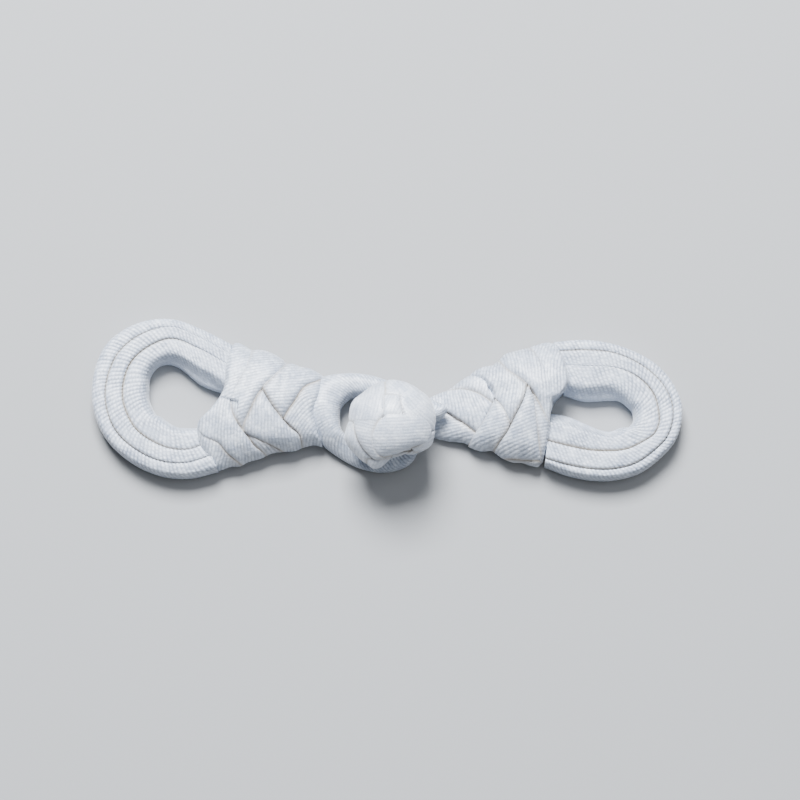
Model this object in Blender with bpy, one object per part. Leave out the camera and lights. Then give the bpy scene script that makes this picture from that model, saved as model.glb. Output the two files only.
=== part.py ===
"""Frog closure of white ribbed satin tubing, buttoned and lying flat.

Each half is one eye of three turns of flattened tubing on edge, sewn side by side, and a plaited body.
The left half ends in a loop, and the right half in a ball knot whose two ends run under the loop.
Tables and sizes are in millimetres, and the meshes are in metres: +X runs from the left eye to the
right eye, +Y is across, +Z is up, and the closure rests on z = 0.
"""

import math
from collections import namedtuple

import bmesh
import bpy
import numpy as np

MM = 0.001

# Driving sizes, in millimetres
SEAM_GAP = 0.3
ROW_HEIGHTS = {"outer": 3.2, "middle": 3.45, "inner": 3.4}
ROW_HOLE_SLOPES = {"outer": 0.05, "middle": 0.10, "inner": 0.42}
KNOT_CENTRE = (0.65, -3.9, 6.8)
KNOT_HALF_WIDTH = 5.4
KNOT_HALF_HEIGHT = 4.85
KNOT_RELIEF_BASE = 0.87
VIEW_TILT_DEG = 12.0

# Steps of the meshes
ROW_STEPS = 36
ROW_SIDES = 10
WRAP_STEPS = 34
WRAP_TOP_SIDES = 26
WRAP_BOTTOM_SIDES = 7
LOOP_STEPS = 42
LOOP_SIDES = 10
KNOT_GRID = 13
NECK_STEPS = 14
NECK_TOP_SIDES = 12
NECK_BOTTOM_SIDES = 5

# One straight section of an eye, from its outer edge to its hole. The grooves between the three turns
# are given as fractions of the way in.
Spoke = namedtuple("Spoke", "outer_x outer_y hole_x hole_y first_groove second_groove")

LEFT_EYE = (
    Spoke(-18.9, 6.8, -19.6, 0.6, 0.22, 0.44),
    Spoke(-22.1, 8.4, -22.2, 1.5, 0.19, 0.38),
    Spoke(-25.5, 9.6, -24.9, 3.4, 0.20, 0.44),
    Spoke(-29.6, 9.2, -27.3, 3.4, 0.29, 0.59),
    Spoke(-33.4, 6.6, -28.1, 2.2, 0.31, 0.60),
    Spoke(-34.9, 2.5, -28.2, 1.1, 0.27, 0.56),
    Spoke(-34.9, -0.6, -28.1, -0.1, 0.25, 0.55),
    Spoke(-33.7, -4.0, -27.4, -1.6, 0.23, 0.54),
    Spoke(-30.4, -7.4, -26.7, -2.0, 0.22, 0.50),
    Spoke(-26.3, -9.2, -24.8, -3.1, 0.23, 0.50),
    Spoke(-23.3, -9.4, -23.6, -3.2, 0.25, 0.50),
    Spoke(-20.4, -8.8, -22.8, -3.2, 0.30, 0.56),
)

RIGHT_EYE = (
    Spoke(20.3, 6.9, 21.6, 0.4, 0.20, 0.46),
    Spoke(23.4, 7.1, 23.6, -0.4, 0.19, 0.45),
    Spoke(26.4, 6.7, 26.1, -0.3, 0.18, 0.44),
    Spoke(29.3, 5.7, 27.5, -0.2, 0.20, 0.45),
    Spoke(32.1, 4.0, 28.5, -0.9, 0.22, 0.46),
    Spoke(34.0, 1.6, 29.0, -1.5, 0.21, 0.48),
    Spoke(34.9, -0.8, 29.1, -2.3, 0.21, 0.50),
    Spoke(34.8, -2.9, 28.9, -2.9, 0.20, 0.46),
    Spoke(34.0, -5.1, 28.3, -3.4, 0.19, 0.44),
    Spoke(32.3, -7.0, 27.4, -3.8, 0.19, 0.45),
    Spoke(29.8, -8.8, 26.3, -4.1, 0.20, 0.48),
    Spoke(26.8, -9.6, 25.0, -3.7, 0.19, 0.49),
    Spoke(24.0, -9.6, 23.4, -2.7, 0.18, 0.45),
    Spoke(21.5, -9.1, 21.5, -1.8, 0.18, 0.42),
    Spoke(19.1, -8.2, 19.7, -1.6, 0.18, 0.40),
)

# Plan outlines of the plaited bodies: far edge, near edge, eye end and the end by the loop or neck
Point = namedtuple("Point", "x y")

LEFT_FAR_EDGE = (
    Point(-18.5, 6.6), Point(-17.7, 6.8), Point(-16.0, 6.1), Point(-14.6, 5.8), Point(-13.2, 5.3),
    Point(-12.1, 4.3), Point(-10.2, 3.9), Point(-8.5, 3.3), Point(-7.8, 2.8),
)
LEFT_NEAR_EDGE = (
    Point(-19.9, -8.5), Point(-18.6, -8.1), Point(-17.2, -8.0), Point(-16.4, -7.6), Point(-14.8, -7.1),
    Point(-13.9, -6.6), Point(-12.0, -6.3), Point(-10.0, -5.9), Point(-8.0, -5.8),
)
LEFT_EYE_END = (
    Point(-18.5, 6.6), Point(-18.8, 3.6), Point(-19.0, 0.7), Point(-20.5, -1.5), Point(-22.0, -3.5),
    Point(-20.9, -6.2), Point(-19.9, -8.5),
)
LEFT_LOOP_END = (Point(-7.8, 2.8), Point(-8.4, 0.7), Point(-8.6, -1.5), Point(-8.4, -3.7), Point(-8.0, -5.8))

RIGHT_FAR_EDGE = (
    Point(9.7, 2.8), Point(11.3, 3.9), Point(12.5, 4.1), Point(13.2, 4.7), Point(14.0, 5.4),
    Point(15.6, 5.9), Point(17.9, 6.6), Point(19.0, 6.9), Point(19.9, 6.7),
)
RIGHT_NEAR_EDGE = (
    Point(9.6, -5.5), Point(10.4, -6.0), Point(11.3, -6.3), Point(12.7, -6.5), Point(13.8, -7.2),
    Point(15.5, -7.5), Point(16.8, -8.0), Point(17.7, -8.1), Point(18.6, -7.8),
)
RIGHT_EYE_END = (
    Point(19.9, 6.7), Point(20.5, 3.6), Point(20.8, 0.7), Point(19.5, -0.4), Point(19.0, -1.6),
    Point(18.7, -5.0), Point(18.6, -7.8),
)
RIGHT_NECK_END = (
    Point(9.7, 2.8), Point(10.9, 2.3), Point(12.0, 1.2), Point(12.6, 0.1), Point(12.0, -1.2),
    Point(11.1, -2.6), Point(10.3, -3.9), Point(9.6, -5.5),
)

NECK_FAR_EDGE = (Point(0.9, -1.2), Point(3.3, -0.7), Point(5.3, 0.4), Point(7.4, 1.3), Point(9.3, 2.6))
NECK_NEAR_EDGE = (Point(0.9, -3.7), Point(3.3, -3.9), Point(5.3, -4.4), Point(7.2, -4.9), Point(9.2, -5.4))
NECK_KNOT_END = (Point(0.9, -1.2), Point(0.7, -2.5), Point(0.9, -3.7))
NECK_BODY_END = (
    Point(9.3, 2.6), Point(10.4, 1.9), Point(11.4, 0.9), Point(12.0, 0.1), Point(11.4, -1.3),
    Point(10.5, -2.7), Point(9.8, -3.9), Point(9.2, -5.4),
)

# Heights along each body, from its eye end (left) or neck end (right)
LEFT_BODY_HEIGHTS = (3.5, 4.2, 4.7, 4.8, 4.6, 4.2, 3.8)
RIGHT_BODY_HEIGHTS = (3.7, 4.2, 4.6, 4.8, 4.7, 4.2, 3.5)
NECK_HEIGHTS = (1.4, 1.5, 1.7, 2.1, 2.8, 3.7)

# A flat strand of a plait, from its broad end to the tip that tucks under the next strand
Strand = namedtuple("Strand", "from_x from_y from_wide to_x to_y to_wide lift")

LEFT_STRANDS = (
    Strand(-17.4, 6.2, 3.4, -18.7, 0.2, 1.4, 0.55),
    Strand(-20.3, -2.0, 2.4, -20.6, -7.0, 3.2, 0.45),
    Strand(-18.2, 0.0, 1.0, -16.2, -7.0, 5.2, 0.75),
    Strand(-13.7, 5.6, 3.4, -16.8, -3.2, 0.9, 0.95),
    Strand(-14.5, 1.0, 0.9, -11.6, -6.2, 4.4, 0.90),
    Strand(-9.8, 3.6, 4.0, -12.3, -1.8, 0.8, 0.90),
    Strand(-11.6, -2.6, 1.0, -7.2, -1.6, 7.6, 0.60),
)
RIGHT_STRANDS = (
    Strand(12.7, 0.1, 0.9, 11.1, -5.9, 3.4, 0.75),
    Strand(11.4, 4.0, 3.6, 14.5, -2.6, 0.8, 0.95),
    Strand(16.5, 1.6, 0.9, 15.3, -7.2, 4.6, 0.80),
    Strand(15.0, 5.6, 3.8, 18.0, -1.2, 1.6, 0.90),
    Strand(18.6, 6.6, 3.2, 19.4, 0.2, 2.8, 0.60),
    Strand(17.7, -1.4, 1.5, 17.8, -7.6, 2.6, 0.60),
)
NECK_STRANDS = (
    Strand(4.0, -1.2, 2.4, 10.6, 0.6, 4.6, 0.35),
    Strand(4.0, -3.4, 1.8, 9.4, -4.2, 2.4, 0.20),
)

# One section of the loop, with the height of the tubing's under and upper side
LoopSection = namedtuple("LoopSection", "outer_x outer_y inner_x inner_y low high")

LOOP_SECTIONS = (
    LoopSection(-8.0, -1.6, -5.6, -2.4, 0.0, 3.3),
    LoopSection(-7.1, 2.5, -5.2, -0.7, 0.0, 3.3),
    LoopSection(-5.0, 3.2, -3.9, 0.3, 0.0, 3.3),
    LoopSection(-2.1, 3.1, -1.9, 0.3, 0.0, 3.3),
    LoopSection(0.7, 2.5, 0.2, 0.0, 0.2, 3.3),
    LoopSection(4.3, 1.2, 3.1, -0.5, 1.5, 3.9),
    LoopSection(6.5, -0.4, 5.2, -1.3, 2.7, 4.9),
    LoopSection(7.3, -1.9, 5.8, -2.3, 2.9, 4.9),
    LoopSection(6.6, -3.6, 5.3, -3.4, 2.6, 4.3),
    LoopSection(5.4, -5.8, 4.1, -5.0, 1.3, 3.2),
    LoopSection(2.8, -7.6, 1.8, -5.4, 0.2, 2.2),
    LoopSection(0.1, -8.6, -0.1, -6.0, 0.0, 2.0),
    LoopSection(-3.0, -8.2, -2.5, -5.6, 0.0, 2.2),
    LoopSection(-5.6, -6.9, -4.2, -4.6, 0.0, 2.8),
    LoopSection(-7.2, -5.2, -5.2, -4.0, 0.0, 3.2),
)

# A strand's visible face on the knot, placed as seen from above, in parts of the knot's radius
Face = namedtuple("Face", "right up heading half_long half_wide lift")

KNOT_FACES = (
    Face(-0.54, 0.36, 0.0, 0.46, 0.40, 0.95),
    Face(0.02, 0.30, 90.0, 0.26, 0.20, 0.70),
    Face(0.24, 0.76, -10.0, 0.50, 0.24, 0.95),
    Face(0.26, -0.24, 75.0, 0.52, 0.40, 1.00),
    Face(0.62, 0.32, 60.0, 0.36, 0.26, 0.85),
    Face(-0.46, -0.42, 105.0, 0.48, 0.32, 0.85),
    Face(-0.86, -0.26, 100.0, 0.55, 0.20, 0.75),
    Face(-0.20, -0.88, 5.0, 0.36, 0.24, 1.00),
    Face(0.45, -0.80, -35.0, 0.38, 0.26, 0.90),
    Face(0.86, -0.26, 85.0, 0.42, 0.24, 0.90),
)
SIDE_FACES = 9
SIDE_FACE_BELOW_DEG = -12.0
SIDE_FACE_TURN_DEG = 35.0
SIDE_FACE_HALF_LONG = 0.52
SIDE_FACE_HALF_WIDE = 0.32


def clear_scene():
    """Removes what the scene holds."""
    for obj in list(bpy.data.objects):
        bpy.data.objects.remove(obj, do_unlink=True)


def satin(name, colour, roughness):
    """Makes a plain satin material."""
    material = bpy.data.materials.new(name)
    material.use_nodes = True
    shader = material.node_tree.nodes["Principled BSDF"]
    shader.inputs["Base Color"].default_value = (*colour, 1.0)
    shader.inputs["Roughness"].default_value = roughness
    shader.inputs["Metallic"].default_value = 0.0
    shader.inputs["Sheen Weight"].default_value = 0.3
    return material


def smooth_rows(rows, count, closed=False):
    """Reads count rows, evenly spaced, from a smooth curve through a table's rows."""
    table = np.array([tuple(row) for row in rows], dtype=float)
    if closed:
        table = np.vstack([table, table[:1]])
    steps = np.linalg.norm(np.diff(table[:, :2], axis=0), axis=1)
    station = np.concatenate([[0.0], np.cumsum(steps)])
    slopes = np.gradient(table, station, axis=0)
    if closed:
        before = (table[-1] - table[-2]) / steps[-1]
        after = (table[1] - table[0]) / steps[0]
        slopes[0] = slopes[-1] = (before + after) / 2
    wanted = np.linspace(0.0, station[-1], count + 1 if closed else count)
    if closed:
        wanted = wanted[:-1]
    first = np.clip(np.searchsorted(station, wanted, side="right") - 1, 0, len(steps) - 1)
    length = steps[first][:, None]
    part = ((wanted - station[first]) / steps[first])[:, None]
    start, end = table[first], table[first + 1]
    leave, arrive = slopes[first] * length, slopes[first + 1] * length
    return (
        start * (2 * part**3 - 3 * part**2 + 1)
        + leave * (part**3 - 2 * part**2 + part)
        + end * (3 * part**2 - 2 * part**3)
        + arrive * (part**3 - part**2)
    )


def add_object(name, mesh_builder, material):
    """Adds a named object whose mesh is the closed body in mesh_builder, in millimetres."""
    bmesh.ops.scale(mesh_builder, vec=(MM, MM, MM), verts=mesh_builder.verts)
    bmesh.ops.recalc_face_normals(mesh_builder, faces=mesh_builder.faces)
    mesh = bpy.data.meshes.new(name)
    mesh_builder.to_mesh(mesh)
    mesh_builder.free()
    mesh.materials.append(material)
    mesh.shade_smooth()
    mesh.set_sharp_from_angle(angle=math.radians(50))
    obj = bpy.data.objects.new(name, mesh)
    bpy.context.scene.collection.objects.link(obj)
    return obj


def skin(rings, closed):
    """Joins rings of points, each in the same order, to a tube that is closed or has flat ends."""
    builder = bmesh.new()
    loops = [[builder.verts.new(point) for point in ring] for ring in rings]
    sides = len(loops[0])
    for index in range(len(loops) if closed else len(loops) - 1):
        here, there = loops[index], loops[(index + 1) % len(loops)]
        for side in range(sides):
            after = (side + 1) % sides
            builder.faces.new((here[side], here[after], there[after], there[side]))
    if not closed:
        for loop in (loops[0], loops[-1]):
            for side in range(sides // 2 - 1):
                face = (loop[side], loop[side + 1], loop[sides - 2 - side], loop[sides - 1 - side])
                builder.faces.new(face)
    return builder


def tube_profile(sides):
    """Gives a section of flattened tubing, with round shoulders and a flat under side.

    The first value of a point runs from -1 to 1 across, and the second from 0 to 1 upwards.
    """
    roundness = 0.72
    flat = 0.06
    points = []
    for index in range(sides):
        angle = 2 * math.pi * (index + 0.5) / sides
        across = math.copysign(abs(math.cos(angle)) ** roundness, math.cos(angle))
        up = 0.5 + 0.5 * math.copysign(abs(math.sin(angle)) ** roundness, math.sin(angle))
        points.append((across, max(0.0, (up - flat) / (1.0 - flat))))
    return points


def row_rings(spokes, start, end, height, slope):
    """Gives the sections of one turn of an eye, between two of its grooves."""
    rings = []
    for row in smooth_rows(spokes, ROW_STEPS):
        outer, hole = row[0:2], row[2:4]
        grooves = (0.0, row[4], row[5], 1.0)
        reach = np.linalg.norm(hole - outer)
        inward = (hole - outer) / reach
        low = grooves[start] * reach + (SEAM_GAP * 0.55 if start > 0 else 0.0)
        high = grooves[end] * reach - (SEAM_GAP * 0.55 if end < 3 else 0.0)
        middle, half = (low + high) / 2, (high - low) / 2
        ring = []
        for across, up in tube_profile(ROW_SIDES):
            lean = 1.0 - slope * up if across > 0 else 1.0
            place = outer + inward * (middle + half * across * lean)
            ring.append((place[0], place[1], height * up))
        rings.append(ring)
    return rings


def build_eye(side, spokes, material):
    """Builds the three turns of an eye."""
    for index, turn in enumerate(("outer", "middle", "inner")):
        rings = row_rings(spokes, index, index + 1, ROW_HEIGHTS[turn], ROW_HOLE_SLOPES[turn])
        add_object(f"{side}_row_{turn}", skin(rings, closed=False), material)


def strand_height(strands, x, y):
    """Gives how far the plait's strands stand up at a place in plan."""
    height = 0.0
    for strand in strands:
        run_x, run_y = strand.to_x - strand.from_x, strand.to_y - strand.from_y
        along = ((x - strand.from_x) * run_x + (y - strand.from_y) * run_y) / (run_x**2 + run_y**2)
        along = min(1.0, max(0.0, along))
        away = math.hypot(x - strand.from_x - along * run_x, y - strand.from_y - along * run_y)
        half = (strand.from_wide * (1.0 - along) + strand.to_wide * along) / 2
        crown = max(0.0, 1.0 - (away / half) ** 2) ** 0.5
        height = max(height, strand.lift * crown)
    return height


class PlanPatch:
    """A four-sided plan, blended between its two long edges and its two ends."""

    def __init__(self, far, near, start, end, steps, sides):
        self.far = smooth_rows(far, steps)
        self.near = smooth_rows(near, steps)
        self.start = smooth_rows(start, 200)
        self.end = smooth_rows(end, 200)
        self.steps = steps
        self.sides = sides

    def place(self, step, across):
        """Gives the plan place at a step along and a fraction across, from the far to the near edge."""
        along = step / (self.steps - 1)
        start = self.start[round(across * 199)]
        end = self.end[round(across * 199)]
        far, near = self.far[step], self.near[step]
        corners = (
            (1 - along) * (1 - across) * self.start[0]
            + (1 - along) * across * self.start[-1]
            + along * (1 - across) * self.end[0]
            + along * across * self.end[-1]
        )
        return (1 - across) * far + across * near + (1 - along) * start + along * end - corners


def padded_rings(patch, heights, strands, top_sides, bottom_sides):
    """Gives the sections of a plaited body: a flat under side, round edges and a raised plait."""
    rim_part = 0.36
    end_step = 0.10
    table = np.interp(np.linspace(0, len(heights) - 1, patch.steps), range(len(heights)), heights)
    rings = []
    for step in range(patch.steps):
        along = step / (patch.steps - 1)
        from_end = min(along, 1.0 - along) / end_step
        end_round = 1.0 - 0.16 * max(0.0, 1.0 - from_end) ** 2
        height = table[step] * end_round
        rim = rim_part * height
        ring = []
        for index in range(top_sides + 1):
            angle = math.pi * index / top_sides
            x, y = patch.place(step, (1.0 - math.cos(angle)) / 2)
            swell = math.sin(angle) ** 0.75 if 0 < index < top_sides else 0.0
            raised = strand_height(strands, x, y) * swell * end_round
            ring.append((x, y, rim + (height - rim) * swell + raised))
        for index in range(bottom_sides, 0, -1):
            angle = math.pi * index / (bottom_sides + 1)
            x, y = patch.place(step, (1.0 - math.cos(angle)) / 2)
            lowered = max(0.0, 1.0 - 2.2 * math.sin(angle))
            ring.append((x, y, rim * lowered))
        rings.append(ring)
    return rings


def padded_skin(rings, top_sides, bottom_sides):
    """Closes the sections of a plaited body, with each end filled between its top and its bottom."""
    builder = bmesh.new()
    loops = [[builder.verts.new(point) for point in ring] for ring in rings]
    sides = len(loops[0])
    for here, there in zip(loops, loops[1:]):
        for side in range(sides):
            after = (side + 1) % sides
            builder.faces.new((here[side], here[after], there[after], there[side]))
    for loop in (loops[0], loops[-1]):
        fill_end(builder, loop, top_sides, bottom_sides)
    return builder


def fill_end(builder, loop, top_sides, bottom_sides):
    """Fills one end with triangles that walk along its top and its bottom together."""
    top = loop[: top_sides + 1]
    bottom = [loop[0], *reversed(loop[top_sides + 1:]), loop[top_sides]]
    upper, lower = 0, 0
    while upper < top_sides or lower < len(bottom) - 1:
        upper_part = (upper + 1) / top_sides
        lower_part = (lower + 1) / (bottom_sides + 1)
        if lower == len(bottom) - 1 or (upper < top_sides and upper_part <= lower_part):
            corners = [top[upper], top[upper + 1], bottom[lower]]
            upper += 1
        else:
            corners = [top[upper], bottom[lower + 1], bottom[lower]]
            lower += 1
        if len(set(corners)) == 3:
            builder.faces.new(corners)


def build_body(name, edges, heights, strands, material):
    """Builds a plaited body from its four plan edges."""
    patch = PlanPatch(*edges, WRAP_STEPS, WRAP_TOP_SIDES)
    rings = padded_rings(patch, heights, strands, WRAP_TOP_SIDES, WRAP_BOTTOM_SIDES)
    add_object(name, padded_skin(rings, WRAP_TOP_SIDES, WRAP_BOTTOM_SIDES), material)


def build_neck(material):
    """Builds the two ends of the knot's tubing, side by side, from under the knot to the body."""
    edges = (NECK_FAR_EDGE, NECK_NEAR_EDGE, NECK_KNOT_END, NECK_BODY_END)
    patch = PlanPatch(*edges, NECK_STEPS, NECK_TOP_SIDES)
    rings = padded_rings(patch, NECK_HEIGHTS, NECK_STRANDS, NECK_TOP_SIDES, NECK_BOTTOM_SIDES)
    add_object("right_neck", padded_skin(rings, NECK_TOP_SIDES, NECK_BOTTOM_SIDES), material)


def build_loop(material):
    """Builds the loop round the knot as one closed ring of tubing."""
    rings = []
    for row in smooth_rows(LOOP_SECTIONS, LOOP_STEPS, closed=True):
        outer, inner, low, high = row[0:2], row[2:4], max(0.0, row[4]), row[5]
        ring = []
        for across, up in tube_profile(LOOP_SIDES):
            place = (outer + inner) / 2 + (inner - outer) / 2 * across
            ring.append((place[0], place[1], low + (high - low) * up))
        rings.append(ring)
    add_object("button_loop", skin(rings, closed=True), material)


def seen_direction(right, up):
    """Turns a place seen on the knot, in parts of its radius, to a direction from its centre."""
    tilt = math.radians(VIEW_TILT_DEG)
    toward = math.sqrt(max(0.0, 1.0 - right**2 - up**2))
    east = np.array((1.0, 0.0, 0.0))
    north = np.array((0.0, math.cos(tilt), math.sin(tilt)))
    view = np.array((0.0, -math.sin(tilt), math.cos(tilt)))
    direction = right * east + up * north + toward * view
    return direction / np.linalg.norm(direction)


def face_frame(direction, heading, north_hint):
    """Gives the along and across directions of a strand's face on the knot."""
    north = north_hint - direction * np.dot(north_hint, direction)
    north /= np.linalg.norm(north)
    east = np.cross(north, direction)
    turn = math.radians(heading)
    along = math.cos(turn) * east + math.sin(turn) * north
    return along, np.cross(direction, along)


def knot_faces():
    """Gives each face of the knot as a direction, its two axes, its half sizes and its lift."""
    faces = []
    for face in KNOT_FACES:
        direction = seen_direction(face.right, face.up)
        along, across = face_frame(direction, face.heading, np.array((0.0, 1.0, 0.0)))
        faces.append((direction, along, across, face.half_long, face.half_wide, face.lift))
    low = math.radians(SIDE_FACE_BELOW_DEG)
    for index in range(SIDE_FACES):
        turn = 2 * math.pi * index / SIDE_FACES
        flat = math.cos(low)
        direction = np.array((flat * math.cos(turn), flat * math.sin(turn), math.sin(low)))
        heading = SIDE_FACE_TURN_DEG if index % 2 else 180.0 - SIDE_FACE_TURN_DEG
        along, across = face_frame(direction, heading, np.array((0.0, 0.0, 1.0)))
        faces.append((direction, along, across, SIDE_FACE_HALF_LONG, SIDE_FACE_HALF_WIDE, 0.7))
    return faces


def knot_lift(faces, direction):
    """Gives how far the knot's surface stands up in a direction, from 0 in a seam to 1."""
    lift = 0.0
    for middle, along, across, half_long, half_wide, full in faces:
        if np.dot(direction, middle) <= 0.0:
            continue
        out_long = np.dot(direction, along) / half_long
        out_wide = np.dot(direction, across) / half_wide
        crown = max(0.0, 1.0 - abs(out_long) ** 3 - abs(out_wide) ** 3) ** 0.5
        lift = max(lift, full * crown)
    return lift


def build_knot(material):
    """Builds the ball knot: a round body with the faces of its crossing strands raised."""
    faces = knot_faces()
    builder = bmesh.new()
    bmesh.ops.create_cube(builder, size=2.0)
    bmesh.ops.subdivide_edges(builder, edges=builder.edges, cuts=KNOT_GRID, use_grid_fill=True)
    for vert in builder.verts:
        even = np.array([math.tan(value * math.pi / 4) for value in vert.co])
        direction = even / np.linalg.norm(even)
        radius = KNOT_RELIEF_BASE + (1.0 - KNOT_RELIEF_BASE) * knot_lift(faces, direction)
        size = (KNOT_HALF_WIDTH, KNOT_HALF_WIDTH, KNOT_HALF_HEIGHT)
        vert.co = [KNOT_CENTRE[axis] + direction[axis] * radius * size[axis] for axis in range(3)]
    add_object("button_knot", builder, material)


def build():
    """Builds the whole closure."""
    clear_scene()
    row_satin = satin("row_satin", (0.80, 0.82, 0.84), 0.55)
    body_satin = satin("plait_satin", (0.83, 0.84, 0.86), 0.45)
    knot_satin = satin("knot_satin", (0.85, 0.86, 0.88), 0.40)
    build_eye("left", LEFT_EYE, row_satin)
    build_eye("right", RIGHT_EYE, row_satin)
    left_edges = (LEFT_FAR_EDGE, LEFT_NEAR_EDGE, LEFT_EYE_END, LEFT_LOOP_END)
    build_body("left_wrap", left_edges, LEFT_BODY_HEIGHTS, LEFT_STRANDS, body_satin)
    right_edges = (RIGHT_FAR_EDGE, RIGHT_NEAR_EDGE, RIGHT_NECK_END, RIGHT_EYE_END)
    build_body("right_wrap", right_edges, RIGHT_BODY_HEIGHTS, RIGHT_STRANDS, body_satin)
    build_neck(body_satin)
    build_loop(body_satin)
    build_knot(knot_satin)


build()
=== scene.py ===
"""Frog closure of ribbed satin tubing, buttoned and lying flat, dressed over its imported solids.

Tables and sizes are in millimetres, and the meshes are in metres. +X runs from the left eye to the
right eye, +Y is across, +Z is up, and the closure rests on z = 0.
"""

import logging
import math
from dataclasses import dataclass, field
from enum import Enum
from typing import NamedTuple, Union

import bmesh
import bpy
import numpy as np
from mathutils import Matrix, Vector


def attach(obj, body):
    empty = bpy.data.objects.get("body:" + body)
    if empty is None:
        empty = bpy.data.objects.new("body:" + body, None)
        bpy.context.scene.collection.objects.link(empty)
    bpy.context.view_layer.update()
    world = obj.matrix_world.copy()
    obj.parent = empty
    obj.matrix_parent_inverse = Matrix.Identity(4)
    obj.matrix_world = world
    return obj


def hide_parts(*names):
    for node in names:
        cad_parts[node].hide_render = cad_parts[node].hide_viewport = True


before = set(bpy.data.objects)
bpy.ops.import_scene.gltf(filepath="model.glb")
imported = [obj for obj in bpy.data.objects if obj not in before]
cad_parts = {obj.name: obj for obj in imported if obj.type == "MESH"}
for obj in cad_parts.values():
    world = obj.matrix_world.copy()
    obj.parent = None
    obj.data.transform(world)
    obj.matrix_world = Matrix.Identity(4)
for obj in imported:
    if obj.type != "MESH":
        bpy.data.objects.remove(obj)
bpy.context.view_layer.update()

LOG = logging.getLogger("frog_closure")
MM = 0.001
FAR = 9.0
Feed = Union[float, bpy.types.NodeSocket]


class Turn(Enum):
    """The three turns of tubing in an eye, from its outline to its hole."""

    OUTER = 0
    MIDDLE = 1
    INNER = 2


class Spoke(NamedTuple):
    """One straight section of an eye, from its outline to its hole."""

    outer_x: float
    outer_y: float
    hole_x: float
    hole_y: float
    first_groove: float
    second_groove: float
    wall: float
    first_depth: float
    second_depth: float


class Point(NamedTuple):
    """A place in plan."""

    x: float
    y: float


class Section(NamedTuple):
    """A section of a flat strand: its two edges in plan, its lift, and how distinct each edge is."""

    left_x: float
    left_y: float
    right_x: float
    right_y: float
    lift: float
    left_edge: float
    right_edge: float


class LoopSection(NamedTuple):
    """A section of the loop, with the heights of the tubing's under and upper side.

    The roll is the part of its height that it loses on its outer side.
    """

    outer_x: float
    outer_y: float
    inner_x: float
    inner_y: float
    low: float
    high: float
    roll: float


class Reach(NamedTuple):
    """How far the knot reaches from its middle in one direction, as seen from above."""

    turn_deg: float
    reach: float


LEFT_EYE = (
    Spoke(-18.4, 6.5, -19.2, 0.5, 0.22, 0.44, 0.9, 0.05, 0.05),
    Spoke(-22.1, 8.4, -22.2, 1.5, 0.19, 0.38, 2.1, 0.05, 0.20),
    Spoke(-25.5, 9.6, -24.9, 3.8, 0.20, 0.44, 1.2, 0.10, 0.60),
    Spoke(-29.6, 9.2, -26.9, 4.2, 0.29, 0.59, 0.3, 0.70, 0.80),
    Spoke(-33.4, 6.6, -28.1, 2.8, 0.31, 0.60, 0.3, 0.90, 1.00),
    Spoke(-34.9, 2.5, -28.2, 1.1, 0.27, 0.56, 0.3, 1.00, 1.00),
    Spoke(-34.9, -0.6, -28.1, -0.1, 0.25, 0.55, 0.3, 1.00, 1.00),
    Spoke(-33.7, -4.0, -27.4, -1.6, 0.23, 0.54, 0.3, 1.00, 1.00),
    Spoke(-30.4, -7.4, -26.7, -2.0, 0.22, 0.50, 0.4, 0.80, 0.90),
    Spoke(-26.3, -9.2, -24.8, -3.1, 0.23, 0.50, 0.8, 0.55, 0.70),
    Spoke(-23.3, -9.4, -23.6, -3.2, 0.25, 0.50, 0.8, 0.35, 0.55),
    Spoke(-19.9, -8.6, -22.3, -3.2, 0.30, 0.56, 0.8, 0.30, 0.50),
)

RIGHT_EYE = (
    Spoke(19.8, 6.8, 21.1, 0.4, 0.20, 0.46, 0.9, 0.70, 0.05),
    Spoke(23.4, 7.1, 23.6, -0.4, 0.19, 0.45, 1.3, 0.80, 0.05),
    Spoke(26.4, 6.7, 26.1, -0.3, 0.18, 0.44, 1.4, 0.85, 0.05),
    Spoke(29.3, 5.7, 27.5, -0.2, 0.20, 0.45, 0.5, 0.90, 0.30),
    Spoke(32.1, 4.0, 28.5, -0.9, 0.22, 0.46, 0.3, 1.00, 0.70),
    Spoke(34.0, 1.6, 29.0, -1.5, 0.21, 0.48, 0.3, 1.00, 0.90),
    Spoke(34.9, -0.8, 29.1, -2.3, 0.21, 0.50, 0.3, 1.00, 0.90),
    Spoke(34.8, -2.9, 28.9, -2.9, 0.20, 0.46, 0.3, 1.00, 0.90),
    Spoke(34.0, -5.1, 28.3, -3.4, 0.19, 0.44, 0.4, 1.00, 0.90),
    Spoke(32.3, -7.0, 27.5, -3.3, 0.18, 0.45, 0.6, 1.00, 0.90),
    Spoke(29.8, -8.8, 26.3, -3.5, 0.17, 0.48, 1.4, 1.00, 0.95),
    Spoke(26.8, -9.6, 25.0, -3.2, 0.155, 0.49, 2.2, 1.00, 0.95),
    Spoke(24.0, -9.6, 23.4, -2.4, 0.14, 0.45, 2.4, 1.00, 0.90),
    Spoke(21.5, -9.1, 21.5, -1.5, 0.12, 0.42, 2.4, 1.00, 0.80),
    Spoke(18.6, -8.0, 19.2, -1.1, 0.09, 0.40, 2.2, 1.00, 0.70),
)

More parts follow.
